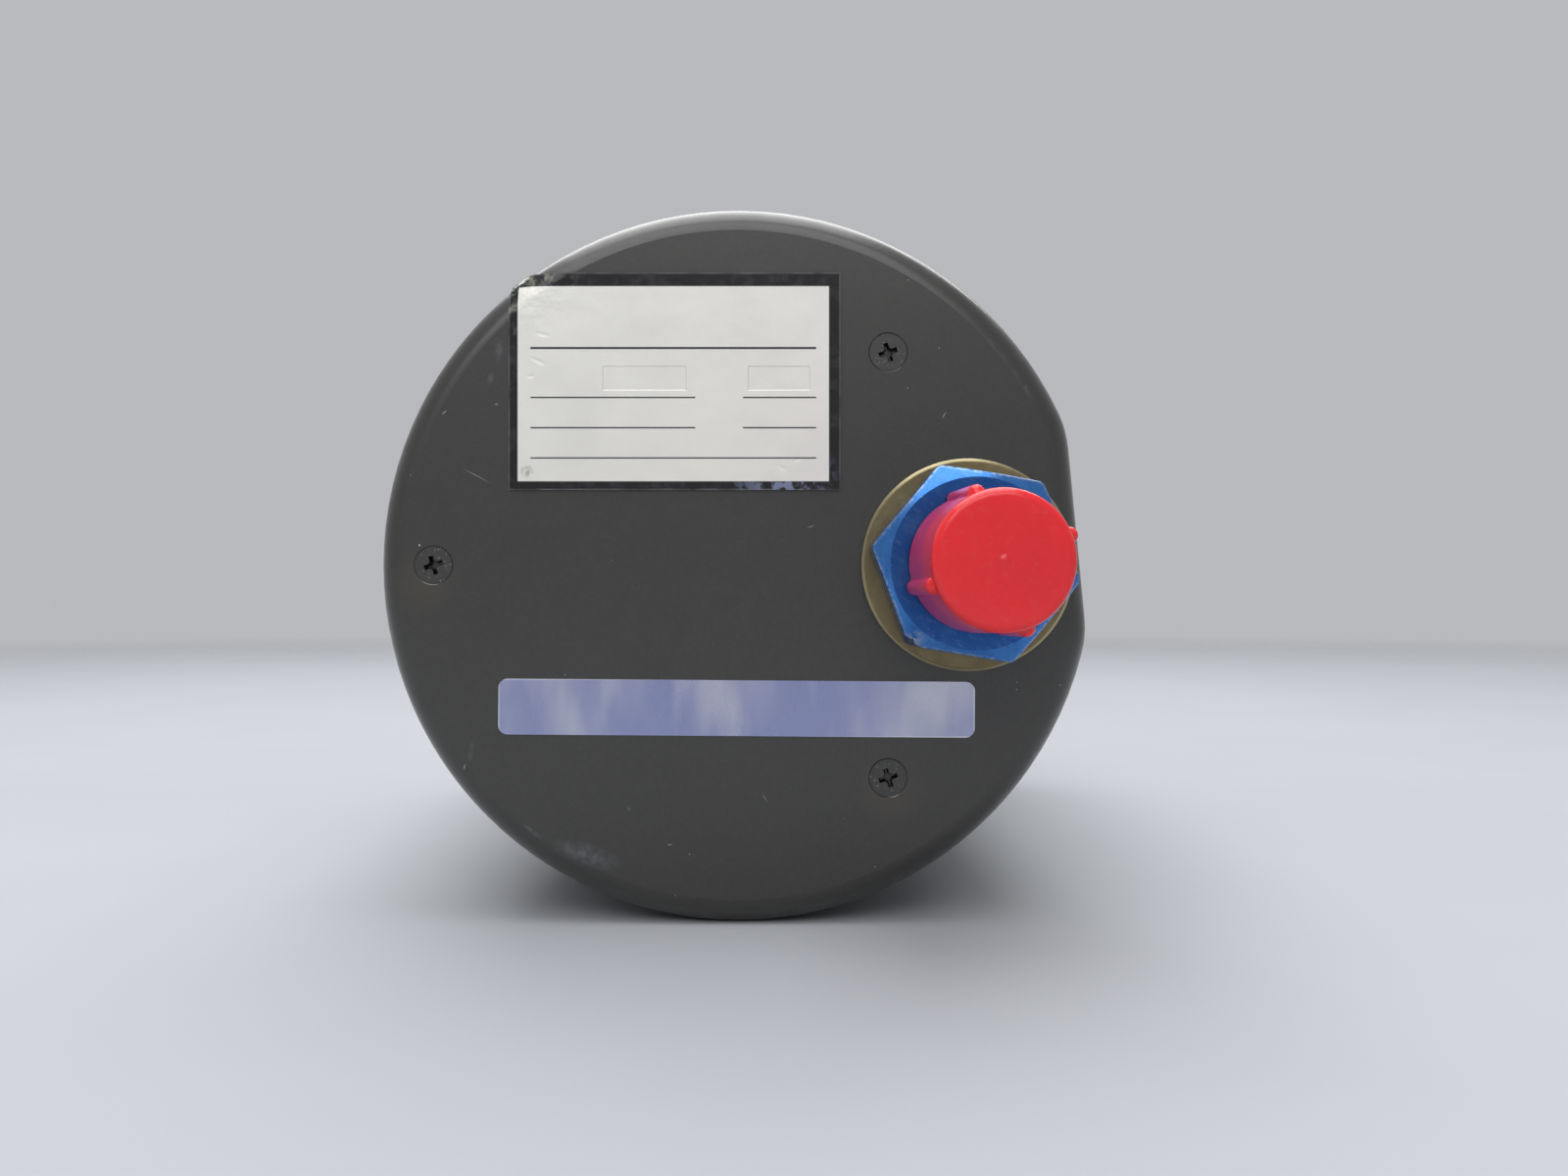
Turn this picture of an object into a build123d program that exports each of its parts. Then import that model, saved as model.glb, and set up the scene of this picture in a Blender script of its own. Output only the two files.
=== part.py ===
from build123d import *
import math
import os

# Directions: the dial faces -Y, Y runs back into the instrument, Z is up and X is to the right of
# someone who looks at the dial. Depth 0 is the face of the flange that meets the panel. Lengths are
# in millimetres, angles in degrees.

# Fits
running_fit = 0.05
slide_fit = 0.08
push_fit = 0.05
loose_fit = 0.1
end_gap = 0.5
cut_past = 2.0

# Case can, drawn from sheet, with a pressed flat on one side
case_r = 39.5
can_wall = 1.3
end_wall = 1.6
end_edge_r = 2.8
end_inner_edge_r = 1.2
case_end_y = 120.0
flat_depth = 1.66
flat_tilt = 5.5
flat_start_y = 22.0
flat_run_in = 6.0
flat_crease_r = 12.0

# Bezel casting
flange_width = 82.6
flange_corner_r = 9.0
flange_depth = 7.0
flange_edge_r = 0.8
ring_height = 3.5
ring_chamfer = 0.5
aperture_r = 32.2
aperture_bevel = 1.4
lip_depth = 1.5
bevel_depth = 0.9
bore_r = 34.0
spigot_length = 6.0
seal_groove_width = 1.6
seal_groove_depth = 0.9
seal_groove_inset = 1.6

# Panel inserts, tapped for number 6 screws on a 3 1/2 inch circle
panel_hole_spacing = 62.87
insert_r = 2.6
insert_hole_r = 1.37
insert_collar_r = 3.4
insert_collar_depth = 1.0

# Glass and its fixings
gasket_thickness = 0.8
gasket_width = 1.5
glass_thickness = 3.0
glass_edge = 0.3
retainer_depth = 1.8
retainer_width = 2.2
retainer_slot_width = 2.4
retainer_slot_depth = 0.9

# Dial and pointer
dial_thickness = 0.8
dial_r = 33.6
dial_hole_r = 1.8
dial_screw_x = 11.5
dial_screw_z = -11.5
dial_screw_length = 3.8
dial_slot_depth = 0.36
pillar_length = 4.2
pillar_r = 2.2
pillar_stud_r = 1.2
pillar_stud_length = 2.0
pointer_lift = 2.7
pointer_thickness = 0.4
pointer_reach = 25.5
pointer_tail = 8.5
pointer_tail_width = 3.36
pointer_root_width = 2.8
pointer_shoulder_width = 1.4
pointer_tip_width = 0.21
pointer_point_length = 2.5
pointer_collar_r = 2.7
pointer_hub_r = 2.1
pointer_hub_front = 0.4
pointer_hub_depth = 2.0

# Movement plates, stacked on three lines of posts behind the rear screws
plate_thickness = 2.5
front_plate_r = 37.0
inner_plate_r = 36.2
capsule_clearance = 1.0
end_bay = 15.9
post_places = [(-16.5, 23.3), (33.3, 0.0), (-16.5, -23.3)]
post_r = 2.5
post_stud_r = 1.25
post_stud_reach = 5.0
window_r = 26.5
window_width = 6.0
window_sweep = 44.0

# Screws of 2 mm thread
screw_r = 0.95
screw_head_r = 1.8
screw_head_height = 1.3
screw_slot_width = 0.5
screw_slot_depth = 0.6
flat_head_r = 2.05
flat_head_height = 1.05
flat_head_clearance = 0.08
recess_length = 2.1
recess_width = 0.55
recess_core_r = 0.55
recess_turn = 72.0
recess_depth = 0.9
recess_taper = 12.0
rear_screw_length = 7.0
rear_head_gap = 0.14
rear_head_sink = 0.08
plate_screw_r = 35.6
plate_screw_angles = (30.0, 150.0, 270.0)
plate_screw_length = 6.5

# Gear train: twelve-leaf pinion driven by a sector of a 120-tooth wheel
gear_module = 0.3
pinion_teeth = 12
wheel_teeth = 120
sector_teeth = 17
pressure_angle = 25.0
tooth_addendum = 0.9
tooth_dedendum = 1.25
tooth_thinning = 0.045
flank_steps = 4
sector_stand = 3.4
sector_thickness = 1.4
sector_rim_depth = 2.6
sector_rim_margin = 0.6
sector_spoke_width = 2.0
sector_spoke_inset = 3.5
sector_spoke_bite = 0.7
peg_spoke_width = 1.6
sector_hub_r = 3.0
sector_boss_r = 2.2
sector_boss_front = 1.6
sector_boss_rear = 1.8
balance_distance = 8.5
balance_r = 3.2
arm_length = 4.0

# Staff and rocking shaft
staff_front_r = 0.75
staff_nose_r = 0.6
staff_nose_reach = 0.5
staff_body_r = 1.0
pivot_r = 0.4
pivot_length = 1.7
end_shake = 0.1
pinion_length = 3.5
jewel_r = 1.6
jewel_depth = 2.0
rocking_shaft_r = 1.0

# Staff bridge
bridge_stand = 11.5
bridge_thickness = 2.0
bridge_width = 8.0
bridge_foot_z = 15.0
bridge_foot_r = 3.2
bridge_screw_length = 8.5

# Hairspring
hairspring_drop = 3.8
hairspring_height = 1.0
hairspring_thickness = 0.16
hairspring_pitch = 1.15
hairspring_turns = 5
collet_r = 1.8
collet_front = 0.2
collet_rear = 0.3
collet_slot_width = 0.4
stud_r = 0.55

# Capsule and link
capsule_x = 22.0
capsule_stand = 8.5
capsule_r = 19.0
capsule_skin = 0.2
capsule_centre_height = 3.2
capsule_edge_height = 1.0
capsule_centre_r = 3.2
capsule_wave_end_r = 17.2
capsule_rim_start_r = 17.9
capsule_waves = 4
capsule_wave_height = 0.38
boss_r = 2.8
boss_thickness = 0.8
boss_neck_r = 1.2
boss_neck_length = 2.4
lug_length = 2.4
lug_width = 1.2
lug_bite = 0.4
link_gap = 0.1
link_pin_r = 0.5
link_pin_reach = 0.9
link_thickness = 0.6
link_width = 1.6
link_eye_r = 1.4
arm_pin_r = 0.4
arm_pin_reach = 1.3
eye_slot_rise = 0.3
arm_collet_r = 2.2
arm_collet_depth = 3.4
arm_thickness = 1.4
arm_width = 2.2

# Capsule bracket and stem
stem_r = 2.0
stem_bore_r = 0.6
stem_flange_r = 3.2
stem_flange = 0.6
stem_end_wall = 1.2
block_gap = 0.8
block_depth = 3.4
block_height = 12.0
bracket_width = 10.0
bracket_web = 2.0
bracket_foot_thickness = 1.7
bracket_foot_width = 18.0
bracket_screw_x = 22.6
bracket_screw_z = 6.4
bracket_foot_reach = 3.0

# Acceleration pumps: two upright cylinders with sprung pistons
pump_places = (-14.0, 8.0)
pump_r = 8.0
pump_bore_r = 6.5
pump_half_height = 17.0
pump_standoff = 3.5
pump_pad_width = 10.0
pump_pad_height = 20.0
pump_screw_z = 6.0
pump_screw_length = 6.0
lid_thickness = 2.0
lid_plug = 2.0
piston_height = 8.0
piston_land = 1.6
piston_waist = 1.2
pump_spring_r = 4.6
pump_spring_wire_r = 0.35
pump_spring_turns = 5
port_z = 12.8

# Tubes
tube_r = 1.0
tube_bore_r = 0.55
tube_bend_r = 3.0
tube_seat = 1.0
tube_straight = 0.2
tube_hole_gap = 0.3
capsule_tube_z = -13.0
tube_clearance = 2.0

# Port through the end of the case, on the left as seen from the dial
port_x = -25.0
port_flange_r = 11.5
port_flange_thickness = 2.0
port_flange_chamfer = 0.35
port_neck_r = 5.5
port_tail_r = 3.5
port_tail_start = 3.0
port_shoulder_gap = 1.5
port_bore_r = 2.2
port_thread_r = 4.05
port_thread_depth = 7.2
port_groove_r = 7.0
port_groove_width = 1.6
port_groove_depth = 0.7
port_nut_across = 16.0
port_nut_thickness = 3.0

# Manifold and calibrated leak
manifold_width = 17.0
manifold_height = 12.0
manifold_depth = 9.0
manifold_floor = 1.8
manifold_edge_r = 1.0
manifold_screw_offset = 6.1
tail_seal_place = 6.1
tail_seal_width = 1.2
tail_seal_depth = 0.5
leak_r = 3.0
leak_height = 8.0
leak_cone = 1.0
leak_nozzle_r = 0.9
leak_nozzle_height = 3.0
leak_bore_r = 0.2
leak_thread_r = 1.4
leak_thread_length = 2.0

# Hose adapter
adapter_across = 19.05
adapter_hex_height = 6.4
adapter_chamfer_r = 8.95
adapter_chamfer_slope = 30.0
adapter_turn = 50.5
adapter_shank_length = 6.6
nipple_r = 5.55
nipple_length = 13.97
nipple_relief_r = 4.9
nipple_relief = 0.9
nipple_cone_length = 2.9
nipple_mouth_r = 2.9
nipple_cone_r = 5.1

# Plastic thread cap
cap_top_y_above_flange = 22.8
cap_length = 15.6
cap_base_r = 7.13
cap_top_r = 6.6
cap_top_wall = 1.2
cap_edge_r = 0.8
cap_rib_base_r = 7.8
cap_rib_end_r = 7.4
cap_rib_width = 1.6
cap_rib_end_gap = 1.2
cap_rib_turn = 20.5
cap_ribs = 4

# Data plate and foil strip on the end of the case
plate_left = -11.25
plate_right = 25.0
plate_bottom = 8.2
plate_top = 31.95
data_plate_thickness = 0.3
strip_left = -25.95
strip_width = 52.1
strip_height = 6.1
strip_top = -12.6
strip_turn = -0.4
strip_thickness = 0.12
strip_corner_r = 1.0

# Zero adjuster
adjuster_place_r = 35.9
adjuster_angle = 225.0
adjuster_r = 1.15
adjuster_head_r = 1.6
adjuster_head_depth = 1.1
adjuster_slot_width = 0.5
adjuster_slot_depth = 0.5
adjuster_hole_gap = 0.35
eccentric = 0.6
eccentric_r = 0.5
eccentric_length = 2.3
lever_reach = 20.0
lever_angle = 242.0
lever_gap = 0.5
lever_thickness = 1.2
lever_hub_r = 2.6
lever_end_r = 2.2
lever_width = 2.4
lever_tail = 7.0
lever_slot_play = 0.07
lever_slot_run = 0.3
lever_pivot_r = 1.0
lever_shoulder_r = 1.6
lever_pivot_head_r = 1.9
lever_pivot_head_height = 0.8
spring_post_r = 0.8
zero_spring_thickness = 0.15
zero_spring_height = 1.0
zero_spring_bow = 0.8
zero_spring_overlap = 0.2
peg_distance = 6.5
peg_r = 0.5

# Values that follow from the sizes above
flat_distance = case_r - flat_depth
can_inner_r = case_r - can_wall
spigot_r = can_inner_r - loose_fit
spigot_end_y = flange_depth + spigot_length
front_plate_y = spigot_end_y
front_plate_rear = front_plate_y + plate_thickness
dial_y = front_plate_y - pillar_length - dial_thickness
pointer_y = dial_y - pointer_lift
lever_y = front_plate_rear + lever_gap
sector_y = front_plate_rear + sector_stand
bridge_y = front_plate_rear + bridge_stand
hairspring_y = bridge_y - hairspring_drop
capsule_y = front_plate_rear + capsule_stand + capsule_r
foot_front_y = capsule_y + capsule_r + capsule_clearance + screw_head_height
middle_plate_y = foot_front_y + bracket_foot_thickness
middle_plate_rear = middle_plate_y + plate_thickness
end_inner_y = case_end_y - end_wall
base_plate_rear = end_inner_y - end_bay
base_plate_y = base_plate_rear - plate_thickness
glass_front_y = -ring_height + lip_depth + gasket_thickness
glass_rear_y = glass_front_y + glass_thickness
pinion_pitch_r = gear_module * pinion_teeth / 2
wheel_pitch_r = gear_module * wheel_teeth / 2
gear_centres = pinion_pitch_r + wheel_pitch_r
rocking_z = arm_length
rocking_x = -math.sqrt(gear_centres**2 - rocking_z**2)
mesh_angle = math.degrees(math.atan2(-rocking_z, -rocking_x))
pump_y = middle_plate_rear + pump_standoff + pump_r
inlet_tube_x = pump_places[0] - pump_r - tube_clearance - tube_r
manifold_rear = base_plate_rear + manifold_depth
manifold_bore_end_y = base_plate_rear + manifold_floor
port_tail_end_y = base_plate_rear + port_tail_start
tail_seal_y = base_plate_rear + tail_seal_place
port_shoulder_y = manifold_rear + port_shoulder_gap
flange_top_y = case_end_y + port_flange_thickness
hex_top_y = flange_top_y + adapter_hex_height
cap_top_y = flange_top_y + cap_top_y_above_flange
cap_base_y = cap_top_y - cap_length
adjuster_x = adjuster_place_r * math.cos(math.radians(adjuster_angle))
adjuster_z = adjuster_place_r * math.sin(math.radians(adjuster_angle))
lever_direction = (math.cos(math.radians(lever_angle)), math.sin(math.radians(lever_angle)))
lever_pivot_x = adjuster_x - (eccentric + lever_reach) * lever_direction[0]
lever_pivot_z = adjuster_z - (eccentric + lever_reach) * lever_direction[1]


def polar(radius, angle):
    """Point at a radius and an angle, counted from the first axis towards the second."""
    return (radius * math.cos(math.radians(angle)), radius * math.sin(math.radians(angle)))


def slab(sketch, y_front, y_rear):
    """Sketch drawn as seen from the dial side (X right, Z up), given thickness from front to rear."""
    plane = Plane(origin=(0, y_rear, 0), x_dir=(1, 0, 0), z_dir=(0, -1, 0))
    return extrude(plane * sketch, amount=y_rear - y_front)


def rod(radius, y_front, y_rear, x=0.0, z=0.0):
    """Round bar along Y."""
    return slab(Pos(x, z) * Circle(radius), y_front, y_rear)


def turned(points, radii=None, x=0.0, z=0.0):
    """Solid turned about a line along Y from (radius, depth) corners, each with its edge radius."""
    if radii is None:
        edge = Polyline(*points, close=True)
    else:
        edge = FilletPolyline(*points, radius=radii, close=True)
    return Pos(x, 0, z) * revolve(make_face(edge), Axis.Y, 360)


def turned_about_x(points, y, z=0.0):
    """Solid turned about a line along X from (x, radius) corners."""
    return Pos(0, y, z) * revolve(make_face(Polyline(*points, close=True)), Axis.X, 360)


def turned_about_z(points, x, y):
    """Solid turned about an upright line from (radius, height) corners."""
    face = make_face(Plane.XZ * Polyline(*points, close=True))
    return Pos(x, y, 0) * revolve(face, Axis.Z, 360)


def block(x_range, y_range, z_range):
    """Square-cornered bar between two values on each axis."""
    size = [high - low for low, high in (x_range, y_range, z_range)]
    middle = [(high + low) / 2 for low, high in (x_range, y_range, z_range)]
    return Pos(*middle) * Box(*size)


def upright_rod(radius, x, y, z_low, z_high):
    """Round bar along Z."""
    return Pos(x, y, (z_low + z_high) / 2) * Cylinder(radius, z_high - z_low)


def group(solids):
    """Separate solids that share one node."""
    return Compound(children=[item.solid() for item in solids])


def flat_cutter(inset):
    """Wedge and block that take the pressed flat out of a cylinder, set in by a wall."""
    cosine = math.cos(math.radians(flat_tilt))
    sine = math.sin(math.radians(flat_tilt))
    plane = Plane(origin=(0, 0, 0), x_dir=(-cosine, 0, sine), z_dir=(-sine, 0, -cosine))
    depth = flat_distance - inset
    outside = case_r + cut_past
    past_end = case_end_y + cut_past
    outline = Polyline(
        (case_r - inset, flat_start_y),
        (depth, flat_start_y + flat_run_in),
        (depth, past_end),
        (outside, past_end),
        (outside, flat_start_y),
        close=True,
    )
    return extrude(plane * make_face(outline), amount=case_r, both=True)


def flattened_cylinder(radius, y_front, y_rear, inset, edge_r):
    """Cylinder with the pressed flat on its side, soft creases along it and a rounded rear edge."""
    body = rod(radius, y_front, y_rear) - flat_cutter(inset)
    creases = [edge for edge in body.edges().filter_by(Axis.Y) if edge.center().X < 0]
    body = fillet(creases, flat_crease_r - inset)
    rear_edges = body.faces().sort_by(Axis.Y)[-1].outer_wire().edges()
    return fillet(rear_edges, edge_r)


def bezel_screw_places():
    """Places of the three screws that hold the movement to the bezel."""
    return [polar(plate_screw_r, angle) for angle in plate_screw_angles]


def panel_places():
    """Corners of the square of panel screws."""
    half = panel_hole_spacing / 2
    return [(x, z) for x in (-half, half) for z in (-half, half)]


def make_bezel():
    """Flange, raised ring with a bevelled window, bore for the glass and spigot for the can."""
    flange = slab(RectangleRounded(flange_width, flange_width, flange_corner_r), 0, flange_depth)
    faces = flange.faces().sort_by(Axis.Y)
    rims = faces[0].outer_wire().edges() + faces[-1].outer_wire().edges()
    flange = fillet(rims, flange_edge_r)
    ring = turned(
        [
            (0, -ring_height),
            (case_r - ring_chamfer, -ring_height),
            (case_r, -ring_height + ring_chamfer),
            (case_r, 0),
            (0, 0),
        ]
    )
    groove_front = flange_depth + seal_groove_inset
    groove_rear = groove_front + seal_groove_width
    spigot = turned(
        [
            (0, flange_depth),
            (spigot_r, flange_depth),
            (spigot_r, groove_front),
            (spigot_r - seal_groove_depth, groove_front),
            (spigot_r - seal_groove_depth, groove_rear),
            (spigot_r, groove_rear),
            (spigot_r, spigot_end_y),
            (0, spigot_end_y),
        ]
    )
    opening = turned(
        [
            (0, -ring_height),
            (aperture_r + aperture_bevel, -ring_height),
            (aperture_r, -ring_height + bevel_depth),
            (aperture_r, -ring_height + lip_depth),
            (bore_r, -ring_height + lip_depth),
            (bore_r, spigot_end_y),
            (0, spigot_end_y),
        ]
    )
    body = flange + ring + spigot - opening
    for x, z in panel_places():
        body -= rod(insert_r, 0, flange_depth, x, z)
        body -= rod(insert_collar_r, flange_depth - insert_collar_depth, flange_depth, x, z)
    for x, z in bezel_screw_places():
        body -= rod(screw_r + push_fit, spigot_end_y - plate_screw_length, spigot_end_y, x, z)
    body -= rod(adjuster_r + running_fit, -ring_height, spigot_end_y, adjuster_x, adjuster_z)
    head_bottom = -ring_height + adjuster_head_depth + loose_fit
    body -= rod(adjuster_head_r + running_fit, -ring_height, head_bottom, adjuster_x, adjuster_z)
    return body


def make_panel_inserts():
    """Four tapped brass inserts, each with a collar at the back of the flange."""
    inserts = []
    for x, z in panel_places():
        body = rod(insert_r, 0, flange_depth, x, z)
        body += rod(insert_collar_r, flange_depth - insert_collar_depth, flange_depth, x, z)
        inserts.append(body - rod(insert_hole_r, 0, flange_depth, x, z))
    return group(inserts)


def make_glass_gasket():
    """Flat ring between the lip of the bezel and the glass."""
    outer = bore_r - loose_fit
    ring = Circle(outer) - Circle(outer - gasket_width)
    return slab(ring, glass_front_y - gasket_thickness, glass_front_y)


def make_glass():
    """Round flat glass with ground edges."""
    outer = bore_r - loose_fit
    return chamfer(rod(outer, glass_front_y, glass_rear_y).edges(), glass_edge)


def make_retaining_ring():
    """Ring screwed in behind the glass, with two slots for a spanner."""
    outer = bore_r - push_fit
    rear = glass_rear_y + retainer_depth
    ring = slab(Circle(outer) - Circle(outer - retainer_width), glass_rear_y, rear)
    slot = slab(Rectangle(2 * bore_r, retainer_slot_width), rear - retainer_slot_depth, rear)
    return ring - slot


def dial_screw_places():
    """Places of the two dial screws."""
    return [(dial_screw_x, dial_screw_z), (-dial_screw_x, dial_screw_z)]


def flat_head(x, z, y_face, direction, clearance=0.0):
    """Countersunk head that lies flush with a face, its shank side along the direction."""
    points = [
        (0, y_face),
        (flat_head_r + clearance, y_face),
        (screw_r + clearance, y_face + direction * flat_head_height),
        (0, y_face + direction * flat_head_height),
    ]
    return turned(points, x=x, z=z)


def make_dial():
    """Thin dial disc, countersunk for its two screws."""
    dial_rear = dial_y + dial_thickness
    body = rod(dial_r, dial_y, dial_rear) - rod(dial_hole_r, dial_y, dial_rear)
    for x, z in dial_screw_places():
        body -= flat_head(x, z, dial_y, 1, flat_head_clearance)
    return body


def make_dial_screws():
    """Two slotted countersunk screws."""
    screws = []
    for x, z in dial_screw_places():
        body = flat_head(x, z, dial_y, 1) + rod(screw_r, dial_y, dial_y + dial_screw_length, x, z)
        slot = Pos(x, z) * Rectangle(3 * flat_head_r, screw_slot_width)
        screws.append(body - slab(slot, dial_y, dial_y + dial_slot_depth))
    return group(screws)


def make_dial_pillars():
    """Two pillars from the front plate that carry the dial, each with a riveted stud."""
    pillars = []
    dial_rear = dial_y + dial_thickness
    for x, z in dial_screw_places():
        body = rod(pillar_r, dial_rear, front_plate_y, x, z)
        body += rod(pillar_stud_r, front_plate_y, front_plate_y + pillar_stud_length, x, z)
        body -= rod(screw_r + push_fit, dial_rear, dial_y + dial_screw_length + end_gap, x, z)
        body -= flat_head(x, z, dial_y, 1, flat_head_clearance)
        pillars.append(body)
    return group(pillars)


def make_pointer():
    """Tapered blade on a hub; it points to the left at rest, where the scale has its zero."""
    lower = [
        (pointer_tail, -pointer_tail_width / 2),
        (0, -pointer_root_width / 2),
        (pointer_point_length - pointer_reach, -pointer_shoulder_width / 2),
        (-pointer_reach, -pointer_tip_width / 2),
    ]
    upper = [(x, -z) for x, z in reversed(lower)]
    blade = make_face(Polyline(*lower, *upper, close=True))
    body = slab(blade + Circle(pointer_collar_r), pointer_y, pointer_y + pointer_thickness)
    hub_front = pointer_y - pointer_hub_front
    body += rod(pointer_hub_r, hub_front, hub_front + pointer_hub_depth)
    return body - rod(staff_nose_r, hub_front, hub_front + pointer_hub_depth)


def flank_angle(radius, base_r, pitch_r, half_thickness):
    """Half the angle that a tooth takes up at a radius, from the involute of its base circle."""
    pressure = math.radians(pressure_angle)
    involute_at_pitch = math.tan(pressure) - pressure
    turn = math.acos(min(1.0, base_r / max(radius, base_r)))
    return half_thickness / pitch_r + involute_at_pitch - (math.tan(turn) - turn)


def tooth_outline(pitch_r, centre_angle):
    """Corners of one tooth, from its root on one side over the tip to its root on the other."""
    base_r = pitch_r * math.cos(math.radians(pressure_angle))
    tip_r = pitch_r + tooth_addendum * gear_module
    root_r = pitch_r - tooth_dedendum * gear_module
    half_thickness = math.pi * gear_module / 4 - tooth_thinning
    low_r = max(base_r, root_r)
    radii = [low_r + (tip_r - low_r) * step / flank_steps for step in range(flank_steps + 1)]
    rising = [(radius, -flank_angle(radius, base_r, pitch_r, half_thickness)) for radius in radii]
    if root_r < base_r:
        rising.insert(0, (root_r, rising[0][1]))
    falling = [(radius, -angle) for radius, angle in reversed(rising)]
    return [polar(radius, centre_angle + math.degrees(angle)) for radius, angle in rising + falling]


def pinion_outline():
    """Closed outline of the pinion, with a space towards the rocking shaft."""
    pitch = 360 / pinion_teeth
    towards_wheel = mesh_angle + 180
    points = []
    for tooth in range(pinion_teeth):
        points += tooth_outline(pinion_pitch_r, towards_wheel + (tooth + 0.5) * pitch)
    return make_face(Polyline(*points, close=True))


def sector_outline():
    """Toothed rim, two spokes, hub and balance weight, about the centre of the hub."""
    pitch = 360 / wheel_teeth
    half_count = (sector_teeth - 1) / 2
    points = []
    for tooth in range(sector_teeth):
        centre = mesh_angle + (tooth - half_count) * pitch
        points += tooth_outline(wheel_pitch_r, centre)
    inner_r = wheel_pitch_r - sector_rim_depth
    root_r = wheel_pitch_r - tooth_dedendum * gear_module
    first = mesh_angle - (half_count + sector_rim_margin) * pitch
    last = mesh_angle + (half_count + sector_rim_margin) * pitch
    outer_edge = Polyline(polar(root_r, first), *points, polar(root_r, last))
    inner_edge = ThreePointArc(polar(inner_r, last), polar(inner_r, mesh_angle), polar(inner_r, first))
    sides = Line(polar(root_r, last), polar(inner_r, last))
    sides += Line(polar(inner_r, first), polar(root_r, first))
    rim = make_face(outer_edge + inner_edge + sides)
    spokes = Sketch()
    spoke_end_r = inner_r + sector_spoke_bite
    for angle in (first + sector_spoke_inset, last - sector_spoke_inset):
        spoke = Pos(spoke_end_r / 2, 0) * SlotOverall(spoke_end_r + sector_spoke_width, sector_spoke_width)
        spokes += Rot(0, 0, angle) * spoke
    tail_centre = Pos(-balance_distance / 2, 0) * Rectangle(balance_distance, sector_spoke_width)
    tail = Rot(0, 0, mesh_angle) * tail_centre
    weight = Pos(*polar(balance_distance, mesh_angle + 180)) * Circle(balance_r)
    return rim + spokes + tail + weight + Circle(sector_hub_r)


def make_sector():
    """Toothed sector with its boss and the peg that the zero spring bears on."""
    rear = sector_y + sector_thickness
    boss_front = sector_y - sector_boss_front
    boss_rear = rear + sector_boss_rear
    place = Pos(rocking_x, rocking_z)
    peg_spoke = SlotOverall(peg_distance + peg_spoke_width, peg_spoke_width, 90)
    spoke = place * Pos(0, -peg_distance / 2) * peg_spoke
    body = slab(place * sector_outline() + spoke, sector_y, rear)
    body += rod(sector_boss_r, boss_front, boss_rear, rocking_x, rocking_z)
    body += rod(peg_r, boss_front, sector_y, rocking_x, rocking_z - peg_distance)
    return body - rod(rocking_shaft_r, boss_front, boss_rear, rocking_x, rocking_z)


def make_rocking_shaft():
    """Long shaft between the front and middle plates, with a fine pivot at each end."""
    front = front_plate_rear + end_shake
    rear = middle_plate_y - end_shake
    body = rod(rocking_shaft_r, front, rear, rocking_x, rocking_z)
    return body + rod(pivot_r, front - pivot_length, rear + pivot_length, rocking_x, rocking_z)


def make_rocking_arm():
    """Clamped arm on the rocking shaft, with the pin that the link drives."""
    arm_rear = capsule_y - link_thickness
    front = arm_rear - arm_collet_depth
    body = rod(arm_collet_r, front, arm_rear, rocking_x, rocking_z)
    bar = Pos(rocking_x, rocking_z - arm_length / 2) * Rectangle(arm_width, arm_length)
    end = Pos(rocking_x, rocking_z - arm_length) * Circle(arm_width / 2)
    body += slab(bar + end, arm_rear - arm_thickness, arm_rear)
    body += rod(arm_pin_r, arm_rear, capsule_y + arm_pin_reach, rocking_x, rocking_z - arm_length)
    return body - rod(rocking_shaft_r, front, arm_rear, rocking_x, rocking_z)


def make_pointer_staff():
    """Staff with its pinion cut on it; it turns in the front plate and in the bridge."""
    body_front = front_plate_rear + end_shake
    body_rear = bridge_y - end_shake
    staff = turned(
        [
            (0, pointer_y - staff_nose_reach),
            (staff_nose_r, pointer_y - staff_nose_reach),
            (staff_nose_r, dial_y),
            (staff_front_r, dial_y),
            (staff_front_r, body_front),
            (staff_body_r, body_front),
            (staff_body_r, body_rear),
            (pivot_r, body_rear),
            (pivot_r, body_rear + pivot_length),
            (0, body_rear + pivot_length),
        ]
    )
    middle = sector_y + sector_thickness / 2
    return staff + slab(pinion_outline(), middle - pinion_length / 2, middle + pinion_length / 2)


def make_jewel_bushes():
    """Four pierced jewels: two for the staff and two for the rocking shaft."""
    places = [
        (0, 0, front_plate_rear - jewel_depth, front_plate_rear, staff_front_r),
        (0, 0, bridge_y, bridge_y + bridge_thickness, pivot_r),
        (rocking_x, rocking_z, front_plate_rear - jewel_depth, front_plate_rear, pivot_r),
        (rocking_x, rocking_z, middle_plate_y, middle_plate_y + jewel_depth, pivot_r),
    ]
    jewels = []
    for x, z, front, rear, shaft_r in places:
        ring = Circle(jewel_r) - Circle(shaft_r + running_fit)
        jewels.append(slab(Pos(x, z) * ring, front, rear))
    return group(jewels)


def make_staff_bridge():
    """Straight bridge on two feet that carries the rear jewel of the staff."""
    top = SlotOverall(2 * bridge_foot_z + bridge_width, bridge_width, 90)
    body = slab(top, bridge_y, bridge_y + bridge_thickness)
    hole_end = front_plate_y + bridge_screw_length + end_gap
    for z in (-bridge_foot_z, bridge_foot_z):
        body += rod(bridge_foot_r, front_plate_rear, bridge_y, 0, z)
        body -= rod(screw_r + push_fit, front_plate_rear, hole_end, 0, z)
    return body - rod(jewel_r, bridge_y, bridge_y + bridge_thickness)


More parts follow.
